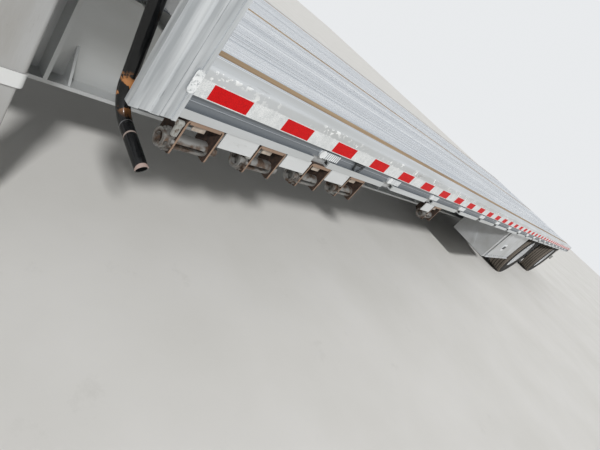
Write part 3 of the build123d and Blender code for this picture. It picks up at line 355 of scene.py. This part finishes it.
def tape_finish(name, fresh, dusty, seam, worn):
    """Reflective sheeting, its cells drawn coarser than the real 3 mm so that they show."""
    finish, tree, shader, place, colour = weathered(
        name, fresh, dusty, worn, metallic=0, roughness=0.55, patch_mm=30, depth_mm=0.05,
        stain_starts=0.66)
    shader.inputs["Specular IOR Level"].default_value = 0.2
    cells = add_node(tree, "ShaderNodeTexVoronoi", {"Vector": place, "Scale": 1000 / cell_mm},
                     feature="DISTANCE_TO_EDGE")
    seams = add_node(tree, "ShaderNodeMapRange",
                     {"Value": cells.outputs[0], "From Min": seam_starts, "From Max": seam_full})
    share = add_node(tree, "ShaderNodeMath", {0: seams.outputs[0], 1: seam_share},
                     operation="MULTIPLY")
    meshed = add_node(tree, "ShaderNodeMix", {0: share.outputs[0], 6: colour, 7: linear(seam)},
                      data_type="RGBA")
    tree.links.new(meshed.outputs[2], shader.inputs["Base Color"])
    return finish


def add_tape(white, red, face, along, start, end, middle_z):
    """Adds a run of tape on an upright face: one white strip, and red blocks on it."""
    runs = [(white, end, start, tape_skin, 0)]
    red_start = start - first_white
    while red_start - tape_block > end:
        runs.append((red, red_start - tape_block, red_start, 2 * tape_skin, tape_border))
        red_start -= 2 * tape_block
    for shape, low, high, skin, border in runs:
        size = [skin, skin, tape_height - 2 * border]
        size[along] = high - low - 2 * border
        centre = [face + (skin / 2 if face > 0 else -skin / 2)] * 2 + [middle_z]
        centre[along] = (low + high) / 2
        add_block(shape, centre, size)


white_tape = tape_finish("white_reflective_tape", "#dedfde", "#cccecd", "#b3b7b8", "#9f9c97")
red_tape = tape_finish("red_reflective_tape", "#cf0409", "#c20308", "#a00206", "#b8282c")
white = bmesh.new()
red = bmesh.new()
for low, high in ((lower_low, lower_high), (upper_low, upper_high)):
    for side in (1, -1):
        add_tape(white, red, face=side * side_y, along=0, start=high.x, end=low.x,
                 middle_z=high.z - tape_low + tape_height / 2)
add_piece("rail_tape_white", white, white_tape)
add_piece("rail_tape_red", red, red_tape)

# Stake pockets and skirts: aluminium tube let in behind the rail, and flat plates between the
# winches. Ribbed zinc clips are pressed in the groove over each pocket's rear end, nose forward.
groove_depth = 0.014
clip_setback = 0.6915
clip_pitch = 0.596
clip_length = 0.115
clip_height = 0.034
clip_depth = 0.007
clip_edge = 0.002
clip_low = 0.130
nose_proud = 0.002
nose_sides = 20
clip_rib_count = 9
clip_rib_width = 0.006
clip_rib_depth = 0.005
clip_rib_end_gap = 0.002
clip_rib_edge = 0.001


def add_round(shape, centre, radius, depth, sides, along="Y"):
    """Adds a round or many-sided bar that runs along Y or X."""
    turn = Matrix.Rotation(pi / 2, 4, "Y") if along == "X" else Matrix.Rotation(-pi / 2, 4, "X")
    bmesh.ops.create_cone(shape, cap_ends=True, segments=sides, radius1=radius, radius2=radius,
                          depth=depth, matrix=Matrix.Translation(centre) @ turn)


# The pockets' tube is grey under a road film, and the skirts' rolled sheet is brighter.
tube_finish = weathered("pocket_tube_aluminium", "#b9bbbc", "#a2a19d", "#7e7b75", metallic=0.5,
                        roughness=0.5, patch_mm=90)[0]
skirt_finish = weathered("bright_skirt_sheet", "#dcdedf", "#cfd1d1", "#b0afab", metallic=0.5,
                         roughness=0.4, patch_mm=140, stretch=(4, 1, 1))[0]
dress(["stake_pockets"], tube_finish)
dress(["skirt_plates"], skirt_finish)
# Pressed zinc: the clip bodies down in the groove are painted darker as shade, and the ribs and
# noses that stand proud are painted paler as highlight.
dull_zinc_painted_shade = weathered("pressed_zinc_painted_shade", "#9b9fa2", "#888c8f", "#77797a", metallic=0.4,
                      roughness=0.4, patch_mm=40)[0]
bright_zinc_painted_highlight = weathered("pressed_zinc_painted_highlight", "#eceeef", "#dcdfe0", "#b5b4af", metallic=0.3,
                        roughness=0.3, patch_mm=40)[0]
clips = bmesh.new()
clip_ribs = bmesh.new()
for low, high in ((lower_low, lower_high), (upper_low, upper_high)):
    middle_z = high.z - clip_low + clip_height / 2
    for side in (1, -1):
        middle_y = side * (side_y - groove_depth + clip_depth / 2)
        clip_x = high.x - clip_setback
        while clip_x - clip_length > low.x:
            add_block(clips, (clip_x, middle_y, middle_z),
                      (clip_length, clip_depth, clip_height), clip_edge, steps=1)
            for k in range(clip_rib_count):
                rib_x = clip_x + clip_length * (k + 0.5 - clip_rib_count / 2) / clip_rib_count
                add_block(clip_ribs, (rib_x, middle_y + side * clip_depth / 2, middle_z),
                          (clip_rib_width, clip_rib_depth, clip_height - 2 * clip_rib_end_gap),
                          clip_rib_edge, steps=1)
            add_round(clip_ribs, (clip_x + clip_length / 2, middle_y + side * nose_proud / 2,
                                  middle_z),
                      clip_height / 2, clip_depth + nose_proud, nose_sides)
            clip_x -= clip_pitch
add_piece("pocket_clips", clips, dull_zinc_painted_shade)
add_piece("pocket_clip_ribs", clip_ribs, bright_zinc_painted_highlight)

# Lashing ring: a D of 9 mm bar held in the left rail's groove by a pressed strap, at the front
# edge of the fourth winch. It is forged steel, so it is dark, with a sheen where hooks rub it.
ring_x = 3.3615
ring_drop = 0.098
ring_radius = 0.031
ring_hang = 1.25
ring_steps = 18
bar_radius = 0.0045
bar_sides = 10
strap_length = 0.03
strap_height = 0.014
strap_edge = 0.002
ring_centre = Vector((ring_x, side_y - groove_depth / 2, lower_high.z - ring_drop))
forged_finish = weathered("dark_forged_steel", "#3a3d40", "#4d4f50", "#6a4a34", metallic=0.6,
                          roughness=0.5, patch_mm=20)[0]
ring = bmesh.new()
bend = bmesh.ops.create_circle(
    ring, segments=bar_sides, radius=bar_radius,
    matrix=Matrix.Translation(ring_centre + Vector((ring_radius, 0, 0))))
bmesh.ops.spin(ring, geom=bend["verts"] + ring.edges[:], angle=pi, steps=ring_steps,
               axis=(0, 1, 0), cent=ring_centre, use_merge=False)
bmesh.ops.holes_fill(ring, edges=[line for line in ring.edges if line.is_boundary])
bmesh.ops.transform(
    ring, verts=ring.verts[:],
    matrix=Matrix.Translation(ring_centre) @ Matrix.Diagonal((1, 1, ring_hang, 1))
    @ Matrix.Translation(-ring_centre))
add_round(ring, ring_centre, bar_radius, 2 * ring_radius + 2 * bar_radius, bar_sides, "X")
add_block(ring, ring_centre - Vector((0, groove_depth / 4, 0)),
          (strap_length, groove_depth / 2, strap_height), strap_edge)
add_piece("lashing_ring", ring, forged_finish)

# Step side posts: tall ribbed extrusions, brushed dull by weather, riveted to the step panel.
# Rain has run down them and left faint streaks.
post_finish = weathered("ribbed_post_aluminium", "#d9dcde", "#a9adb0", "#868a8c", metallic=0.5,
                        roughness=0.42, patch_mm=28, stretch=(1, 1, 14), stain_starts=0.6)[0]
dress(["riser_posts"], post_finish)

# Frame: welded aluminium beams and crossmembers, dull from the mill and dusted from the road.
# Triangular gussets brace each beam's lower flange to its web, their plate painted paler than the
# beams as sunlight.
beam_finish = weathered("dull_mill_aluminium", "#b9bbbb", "#a6a6a2", "#8f8c85", metallic=0.45,
                        roughness=0.5, patch_mm=320, stretch=(3, 1, 1), stain_starts=0.66)[0]
gusset_finish_painted_light = weathered("welded_plate_painted_light", "#d5d7d8", "#c2c4c4", "#a3a29d", metallic=0.5,
                          roughness=0.4, patch_mm=120)[0]
dress(["lower_crossmembers", "upper_crossmembers", "main_beams", "goosenecks", "neck_beams",
       "landing_gear_braces"], beam_finish)
beam_low, beam_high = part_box("main_beams")
web_face = 0.489
lower_flange = 0.016
gusset_rise = 0.14
gusset_thickness = 0.01
gusset_inset = 0.006
gusset_places = (4.2, 3.3, 2.4, 1.5, 0.6)
foot_z = beam_low.z + lower_flange
gussets = bmesh.new()
for side in (1, -1):
    for x in gusset_places:
        corners = [gussets.verts.new(spot) for spot in (
            (x, side * web_face, foot_z), (x, side * (beam_high.y - gusset_inset), foot_z),
            (x, side * web_face, foot_z + gusset_rise))]
        plate = gussets.faces.new(corners)
        gussets.normal_update()
        bmesh.ops.solidify(gussets, geom=[plate], thickness=gusset_thickness)
add_piece("beam_gussets", gussets, gusset_finish_painted_light)

# Winches: bent from plate steel and never painted, so they are rusted all over in scales 3 mm
# across. Straps rub the barrels to bare grey steel. A pawl drops in each ratchet's teeth.
winch_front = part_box("winch_frames")[1].x
winch_setbacks = (0, 0.29, 0.58, 0.87, 1.951)
winch_length = 0.132
winch_bend = 0.01
lip_y = 1.2895
lip_z = 0.8255
lip_thickness = 0.005
lip_height = 0.009
lip_edge = 0.001
pawl_lead = 0.009
pawl_y = 1.281
pawl_z = 0.792
pawl_size = (0.016, 0.014, 0.048)
pawl_edge = 0.003
pawl_ribs = 3
pawl_rib_pitch = 0.005
pawl_rib_y = 1.2885
pawl_rib_size = (0.0025, 0.004, 0.042)
pawl_rib_edge = 0.0008
pivot_lead = 0.008
pivot_y = 1.28
pivot_z = 0.811
pivot_radius = 0.009
pivot_length = 0.022
pivot_sides = 16
guide_setback = 0.055
# A strap guide's top plate and its turned-down front: y and z, size, and rounding of each.
guide_plates = (((1.262, 0.826), (0.046, 0.04, 0.006), 0.001),
                ((1.28, 0.815), (0.046, 0.005, 0.028), 0.0015))
mottle_mm = 6
scale_mm = 3
scale_relief_mm = 0.5
outward_starts = 0.6
outward_full = 0.95
painted_light_share = 0.8


def rusted(name, steel, rust, dark, metallic, roughness, patch_mm, starts, full):
    """Steel that starts to rust at one level of a noise and is all rust at another.

    The rust is scaly, and darker where it is old."""
    finish, tree, shader, place, colour = weathered(
        name, rust, dark, rust, metallic, roughness, patch_mm=mottle_mm, pit_mm=scale_mm,
        depth_mm=scale_relief_mm)
    spread = add_node(tree, "ShaderNodeTexNoise",
                      {"Vector": place, "Scale": 1000 / patch_mm, "Detail": 8})
    spread = add_node(tree, "ShaderNodeMapRange",
                      {"Value": spread.outputs[0], "From Min": starts, "From Max": full})
    mixed = add_node(tree, "ShaderNodeMix",
                     {0: spread.outputs[0], 6: linear(steel), 7: colour}, data_type="RGBA")
    tree.links.new(mixed.outputs[2], shader.inputs["Base Color"])
    return finish


# Rust colours are painted dark as shade inside the frames, and faces that look outwards are
# painted paler as light falling on them.
rusted_plate_shade_and_light, tree, shader, place, colour = weathered(
    "scaly_rusted_plate_painted_shade_and_light", "#453329", "#2a211c", "#5e4231", metallic=0.2, roughness=0.75,
    patch_mm=12, pit_mm=scale_mm, depth_mm=scale_relief_mm)
facing = add_node(tree, "ShaderNodeNewGeometry").outputs["Normal"]
facing = add_node(tree, "ShaderNodeSeparateXYZ", {0: facing}).outputs["Y"]
outward = add_node(tree, "ShaderNodeMapRange",
                   {"Value": facing, "From Min": outward_starts, "From Max": outward_full})
share = add_node(tree, "ShaderNodeMath", {0: outward.outputs[0], 1: painted_light_share},
                 operation="MULTIPLY")
outward_painted_light = add_node(tree, "ShaderNodeMix", {0: share.outputs[0], 6: colour, 7: linear("#a08672")},
                  data_type="RGBA")
tree.links.new(outward_painted_light.outputs[2], shader.inputs["Base Color"])
# A pawl is knocked about, so rust keeps only to patches, and pale dust lies on the guides.
drum_finish = rusted("rubbed_grey_steel", "#8d8c89", "#6b5748", "#4b4038", metallic=0.6,
                     roughness=0.5, patch_mm=30, starts=0.44, full=0.6)
pawl_finish = rusted("worn_pawl_steel", "#a9a9a4", "#7c695b", "#4f4239", metallic=0.4,
                     roughness=0.7, patch_mm=14, starts=0.52, full=0.66)
guide_finish = weathered("dusty_guide_steel", "#bdb1a4", "#a39689", "#84766a", metallic=0.2,
                         roughness=0.6, patch_mm=20)[0]
dress(["winch_frames"], rusted_plate_shade_and_light)
dress(["winch_drums"], drum_finish)
lips = bmesh.new()
pawls = bmesh.new()
guides = bmesh.new()
for setback in winch_setbacks:
    x = winch_front - setback
    add_block(lips, (x - winch_length / 2, lip_y, lip_z),
              (winch_length - 2 * winch_bend, lip_thickness, lip_height), lip_edge)
    add_block(pawls, (x + pawl_lead, pawl_y, pawl_z), pawl_size, pawl_edge)
    for k in range(pawl_ribs):
        rib_x = x + pawl_lead + pawl_rib_pitch * (k - (pawl_ribs - 1) / 2)
        add_block(pawls, (rib_x, pawl_rib_y, pawl_z), pawl_rib_size, pawl_rib_edge, steps=1)
    add_round(pawls, (x + pivot_lead, pivot_y, pivot_z), pivot_radius, pivot_length,
              pivot_sides, "X")
    for (y, z), size, edge in guide_plates:
        add_block(guides, (x - guide_setback, y, z), size, edge)
add_piece("winch_frame_lips", lips, rusted_plate_shade_and_light)
add_piece("winch_pawls", pawls, pawl_finish)
add_piece("winch_strap_guides", guides, guide_finish)

# Coupler plate and couplings: a heavy steel plate that rests on the tractor, with the kingpin
# welded through it. Its black paint is worn, with rust in the scratches.
black_finish = rusted("worn_black_paint", "#232425", "#4a372b", "#2f241e", metallic=0.1,
                      roughness=0.5, patch_mm=60, starts=0.6, full=0.7)
dress(["coupler_plate", "nose_couplings"], black_finish)

# Landing gear: square steel legs in scuffed grey paint, wound up and down by one crank. Each
# outer leg's mouth has a thick collar with its pale primer showing.
grey_paint = {"fresh": "#b4b5b5", "dusty": "#a19f9b", "stained": "#7a736b", "metallic": 0.2,
              "roughness": 0.5, "patch_mm": 110, "stretch": (1, 1, 5)}
collar_height = 0.048
collar_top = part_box("landing_gear_legs")[0].z + collar_height
leg_finish, tree, shader, place, colour = weathered("scuffed_grey_leg_paint", **grey_paint)
height = add_node(tree, "ShaderNodeSeparateXYZ", {0: place}).outputs["Z"]
collar = add_node(tree, "ShaderNodeMath", {0: height, 1: collar_top}, operation="LESS_THAN")
primed = add_node(tree, "ShaderNodeMix", {0: collar.outputs[0], 6: colour, 7: linear("#dcdddc")},
                  data_type="RGBA")
tree.links.new(primed.outputs[2], shader.inputs["Base Color"])
dress(["landing_gear_legs"], leg_finish)
dress(["landing_gear_inner_legs", "landing_gear_gearboxes"],
      weathered("scuffed_grey_paint", **grey_paint)[0])

# Crank: a bent pipe in gloss black paint that rusts through at its bend. The first ring is a
# painted highlight;
# the other two are rubbed bright where hands and the hanger hold it, and its open end is bare.
# Each ring's place out from the middle, half its width and its colour:
crank_rings = ((1.166, 0.001, "#6f7071"), (1.196, 0.002, "#8c7f78"), (1.286, 0.005, "#a08c84"))
bend_z = 0.77
rust_reach = 0.06
rust_core = 0.03
rust_patches_a_metre = 26
patch_starts = 0.5
patch_full = 0.54
crank_finish, tree, shader, place, colour = weathered(
    "gloss_black_paint", "#0b0c0d", "#111213", "#4a4845", metallic=0, roughness=0.22,
    patch_mm=24, depth_mm=0.06, stain_starts=0.64)
shader.inputs["Coat Weight"].default_value = 0.15
shader.inputs["Specular IOR Level"].default_value = 0.3
spot = add_node(tree, "ShaderNodeSeparateXYZ", {0: place})
# The first ring is a painted highlight; the others are bare rubbed metal.
for ring_y, half, code in crank_rings:
    away = away_from(tree, spot.outputs["Y"], ring_y)
    band = add_node(tree, "ShaderNodeMath", {0: away, 1: half}, operation="LESS_THAN")
    colour = add_node(tree, "ShaderNodeMix", {0: band.outputs[0], 6: colour, 7: linear(code)},
                      data_type="RGBA").outputs[2]
near = add_node(tree, "ShaderNodeMapRange",
                {"Value": away_from(tree, spot.outputs["Z"], bend_z), "From Min": rust_reach,
                 "From Max": rust_core})
patches = add_node(tree, "ShaderNodeTexNoise",
                   {"Vector": place, "Scale": rust_patches_a_metre, "Detail": 6})
patches = add_node(tree, "ShaderNodeMapRange",
                   {"Value": patches.outputs[0], "From Min": patch_starts,
                    "From Max": patch_full})
rust = add_node(tree, "ShaderNodeMath", {0: near.outputs[0], 1: patches.outputs[0]},
                operation="MULTIPLY")
colour = add_node(tree, "ShaderNodeMix", {0: rust.outputs[0], 6: colour, 7: linear("#a87244")},
                  data_type="RGBA").outputs[2]
tree.links.new(colour, shader.inputs["Base Color"])
dress(["crank_handle"], crank_finish)

# Running gear: cast and welded steel under black paint and road dust. The air springs are ribbed
# rubber bellows, matt and dusty, clamped between steel plates.
dusty_black = rusted("dusty_black_paint", "#343331", "#57463a", "#3b3029", metallic=0.1,
                     roughness=0.65, patch_mm=90, starts=0.55, full=0.68)
bellows_rubber = weathered("dusty_bellows_rubber", "#292929", "#3b3937", "#4d4a44", metallic=0,
                           roughness=0.85, patch_mm=60)[0]
dress(["axles", "trailing_arms", "suspension_hangers", "brake_chambers", "mud_flap_bars"],
      dusty_black)
dress(["air_tanks"], black_finish)
dress(["air_springs"], bellows_rubber)

# Wheels: discs forged from aluminium and polished bright, under a thin film of road dust. Ten
# flanged nuts clamp each pair on its studs, and an oil cap closes the grey cast hub.
axle_places = {"front": -3.071, "rear": -6.144}
wheel_sets = [(f"{end}_{side}", x, 1 if side == "left" else -1)
              for end, x in axle_places.items() for side in ("left", "right")]
axle_z = 0.4635
disc_face = 0.950
nut_ring = 0.142
nut_count = 10
# Height, radius and sides of a nut's flange, its hexagon and the stud's end, from the disc out.
nut_steps = ((0.005, 0.023, 24), (0.024, 0.019, 6), (0.014, 0.011, 12))
hub_face = 1.048
oil_cap_steps = ((0.016, 0.05, 32), (0.012, 0.036, 32))
cap_bolt_steps = ((0.006, 0.0055, 6),)
cap_bolt_count = 6
cap_bolt_ring = 0.043


def add_stack(shape, x, z, face_y, side, steps):
    """Adds bars end to end outwards from a face: each has a height, a radius and its sides."""
    for height, radius, sides in steps:
        add_round(shape, (x, side * (face_y + height / 2), z), radius, height, sides)
        face_y += height


# Polished discs mirror the room, softened by dust. Cast hubs are matt and hold more of it.
disc_finish = weathered("polished_forged_aluminium", "#f2f3f4", "#e4e5e6", "#d2d0cb",
                        metallic=0.6, roughness=0.25, patch_mm=90)[0]
hub_finish = weathered("dusty_cast_iron", "#6a6866", "#55514d", "#75604c", metallic=0.3,
                       roughness=0.65, patch_mm=40)[0]
# Zinc plating keeps the nuts pale, with rust starting in spots.
nut_finish = weathered("zinc_plated_steel", "#b9bcbe", "#9c9c99", "#7a6a58", metallic=0.8,
                       roughness=0.35, patch_mm=15)[0]
dress([f"{name}_wheel" for name, x, side in wheel_sets], disc_finish)
dress([f"{name}_hub" for name, x, side in wheel_sets], hub_finish)
for name, x, side in wheel_sets:
    nuts = bmesh.new()
    for k in range(nut_count):
        turn = 2 * pi * (k + 0.5) / nut_count
        add_stack(nuts, x + nut_ring * cos(turn), axle_z + nut_ring * sin(turn), disc_face, side,
                  nut_steps)
    add_stack(nuts, x, axle_z, hub_face, side, oil_cap_steps)
    for k in range(cap_bolt_count):
        turn = 2 * pi * k / cap_bolt_count
        add_stack(nuts, x + cap_bolt_ring * cos(turn), axle_z + cap_bolt_ring * sin(turn),
                  hub_face + oil_cap_steps[0][0], side, cap_bolt_steps)
    add_piece(f"{name}_wheel_nuts", nuts, nut_finish, f"{name}_wheels")

# Tyres: twin radials 255 mm wide, moulded with five straight ribs, which narrow cuts cross. The
# rubber is dark down the sidewalls, and brown-grey dust lies on the tread.
tyre_middles = (1.083, 0.773)
# Half of the section, from the bead up: how far out from the middle, and how far from the axle.
half_section = (
    (0.1085, 0.2856), (0.1135, 0.3000), (0.1215, 0.3380), (0.1273, 0.3800), (0.1240, 0.4080),
    (0.1205, 0.4280), (0.1165, 0.4440), (0.1110, 0.4545), (0.1040, 0.4605), (0.0700, 0.4632),
    (0.0685, 0.4505), (0.0585, 0.4505), (0.0570, 0.4634), (0.0285, 0.4635), (0.0270, 0.4505),
    (0.0170, 0.4505), (0.0155, 0.4635),
)
tyre_section = half_section + tuple((-away, reach) for away, reach in reversed(half_section))
tyre_steps = 96
tread_inner = 0.4535
cut_count = 110
cut_share = 0.12
cut_depth = 0.003


def tyre_finish(name, axle_x):
    """Moulded rubber with a narrow cut every 26 mm round the tread, centred on its axle."""
    finish, tree, shader, place, colour = weathered(
        name, "#262524", "#302e2c", "#413c36", metallic=0, roughness=0.92, patch_mm=60,
        pit_mm=2, depth_mm=0.2)
    shader.inputs["Specular IOR Level"].default_value = 0.25
    centred = add_node(tree, "ShaderNodeMapping",
                       {"Vector": place, "Location": (-axle_x, 0, -axle_z)})
    spot = add_node(tree, "ShaderNodeSeparateXYZ", {0: centred.outputs[0]})
    angle = add_node(tree, "ShaderNodeMath", {0: spot.outputs["X"], 1: spot.outputs["Z"]},
                     operation="ARCTAN2")
    turns = add_node(tree, "ShaderNodeMath", {0: angle.outputs[0], 1: cut_count / (2 * pi)},
                     operation="MULTIPLY")
    within = add_node(tree, "ShaderNodeMath", {0: turns.outputs[0]}, operation="FRACT")
    cut = add_node(tree, "ShaderNodeMath", {0: within.outputs[0], 1: cut_share},
                   operation="LESS_THAN")
    flat = add_node(tree, "ShaderNodeCombineXYZ", {0: spot.outputs["X"], 1: spot.outputs["Z"]})
    reach = add_node(tree, "ShaderNodeVectorMath", {0: flat.outputs[0]}, operation="LENGTH")
    tread = add_node(tree, "ShaderNodeMath", {0: reach.outputs["Value"], 1: tread_inner},
                     operation="GREATER_THAN")
    cuts = add_node(tree, "ShaderNodeMath", {0: cut.outputs[0], 1: tread.outputs[0]},
                    operation="MULTIPLY")
    dusted = add_node(tree, "ShaderNodeMix",
                      {0: tread.outputs[0], 6: colour, 7: linear("#7b736a")}, data_type="RGBA")
    darker = add_node(tree, "ShaderNodeMix",
                      {0: cuts.outputs[0], 6: dusted.outputs[2], 7: linear("#33302d")},
                      data_type="RGBA")
    tree.links.new(darker.outputs[2], shader.inputs["Base Color"])
    relief = add_node(tree, "ShaderNodeBump",
                      {"Height": cuts.outputs[0], "Distance": cut_depth, "Strength": 1},
                      invert=True)
    tree.links.new(relief.outputs[0], shader.inputs["Normal"])
    return finish


tyre_rubber = {x: tyre_finish(f"dusty_moulded_rubber_{end}", x) for end, x in axle_places.items()}
for name, x, side in wheel_sets:
    tyres = bmesh.new()
    for middle in tyre_middles:
        outline = [tyres.verts.new((x, side * (middle + away), axle_z + reach))
                   for away, reach in tyre_section]
        lines = [tyres.edges.new(pair) for pair in zip(outline, outline[1:] + outline[:1])]
        bmesh.ops.spin(tyres, geom=outline + lines, angle=2 * pi, steps=tyre_steps,
                       axis=(0, 1, 0), cent=(x, 0, axle_z), use_merge=True)
    piece = add_piece(f"{name}_ribbed_tyres", tyres, tyre_rubber[x], f"{name}_wheels")
    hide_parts(f"{name}_tyres")

# Toolboxes: sheet aluminium boxes hung under the deck on straps, with plain drop-down doors. Each
# door has a black paddle latch on a round-ended bright plate, and pop rivets along its edges.
door_low, door_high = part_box("left_toolbox_door")
door_face = 1.1865
latch_x = -1.388
latch_z = 0.535
plate_size = (0.19, 0.004, 0.11)
plate_corner = 0.045
paddle_size = (0.114, 0.007, 0.0495)
paddle_edge = 0.0025
lock_size = (0.03, 0.003, 0.03)
lock_edge = 0.001
lock_proud = 0.001
paddle_seat = door_face + plate_size[1]
lock_seat = paddle_seat + paddle_size[1] + lock_proud - lock_size[1]
rivet_count = 12
rivet_radius = 0.006
rivet_height = 0.003
rivet_sides = 12
rivet_end_inset = 0.03
rivet_top_inset = 0.02
rivet_foot_inset = 0.04
rivet_pitch = (door_high.x - door_low.x - 2 * rivet_end_inset) / (rivet_count - 1)
# Sheet from the mill is even and dull, and moulded plastic an even black with a little gloss.
box_finish = weathered("dull_sheet_aluminium", "#c3c5c7", "#b2b3b2", "#94928c", metallic=0.5,
                       roughness=0.42, patch_mm=180, stain_starts=0.68)[0]
latch_finish = weathered("black_moulded_plastic", "#222324", "#333332", "#4a4844", metallic=0,
                         roughness=0.45, patch_mm=20)[0]
dress(["left_toolbox", "right_toolbox", "left_toolbox_door", "right_toolbox_door"], box_finish)
for name, side in (("left", 1), ("right", -1)):
    # Latch plates take the pale zinc of the clip ribs, and rivets the darker zinc of the clip
    # bodies.
    plate = bmesh.new()
    add_block(plate, (latch_x, side * (door_face + plate_size[1] / 2), latch_z), plate_size,
              plate_corner, along=1, steps=8)
    add_piece(f"{name}_door_latch_plate", plate, bright_zinc_painted_highlight, f"{name}_door")
    latch = bmesh.new()
    add_block(latch, (latch_x, side * (paddle_seat + paddle_size[1] / 2), latch_z), paddle_size,
              paddle_edge)
    add_block(latch, (latch_x, side * (lock_seat + lock_size[1] / 2), latch_z), lock_size,
              lock_edge)
    add_piece(f"{name}_door_latch", latch, latch_finish, f"{name}_door")
    rivets = bmesh.new()
    for k in range(rivet_count):
        x = door_low.x + rivet_end_inset + k * rivet_pitch
        for z in (door_high.z - rivet_top_inset, door_low.z + rivet_foot_inset):
            add_round(rivets, (x, side * (door_face + rivet_height / 2), z), rivet_radius,
                      rivet_height, rivet_sides)
    add_piece(f"{name}_door_rivets", rivets, dull_zinc_painted_shade, f"{name}_door")

# Mud flaps: white polymer sheet bolted to steel bars behind the rear tyres, with road spray up
# it. A zinc-plated strip spreads the load under four bolts.
flap_low, flap_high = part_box("mud_flaps")
flap_width = 0.6
strip_drop = 0.02
strip_thickness = 0.004
strip_height = 0.03
strip_end_gap = 0.02
strip_edge = 0.0015
strip_z = flap_high.z - strip_drop
bolt_count = 4
bolt_pitch = 0.16
bolt_radius = 0.009
bolt_height = 0.008
bolt_sides = 6
flap_finish = weathered("white_polymer_sheet", "#e6e6e3", "#d3d1cb", "#a8a195", metallic=0,
                        roughness=0.6, patch_mm=200, stretch=(1, 1, 2))[0]
dress(["mud_flaps"], flap_finish)
strips = bmesh.new()
for side in (1, -1):
    middle_y = side * (flap_high.y - flap_width / 2)
    add_block(strips, (flap_low.x - strip_thickness / 2, middle_y, strip_z),
              (strip_thickness, flap_width - 2 * strip_end_gap, strip_height), strip_edge)
    for k in range(bolt_count):
        bolt_y = middle_y + (k - (bolt_count - 1) / 2) * bolt_pitch
        add_round(strips, (flap_low.x - strip_thickness - bolt_height / 2, bolt_y, strip_z),
                  bolt_radius, bolt_height, bolt_sides, "X")
add_piece("mud_flap_strips", strips, nut_finish)

# Rear guard and lamps: a welded aluminium bumper with a run of the same tape, and lamps with red
# moulded lenses set in the sill. Prisms 4 mm wide make the lenses glint.
lens_finish = weathered("red_moulded_lens", "#b01210", "#9a0f0d", "#7d0d0b", metallic=0,
                        roughness=0.12, patch_mm=30, pit_mm=4, depth_mm=0.6)[0]
dress(["underride_guard"], beam_finish)
dress(["rear_lamps"], lens_finish)
guard_low, guard_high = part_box("underride_guard")
guard_tape_rise = 0.05
guard_white = bmesh.new()
guard_red = bmesh.new()
add_tape(guard_white, guard_red, face=guard_low.x, along=1, start=guard_high.y, end=guard_low.y,
         middle_z=guard_low.z + guard_tape_rise)
add_piece("guard_tape_white", guard_white, white_tape)
add_piece("guard_tape_red", guard_red, red_tape)
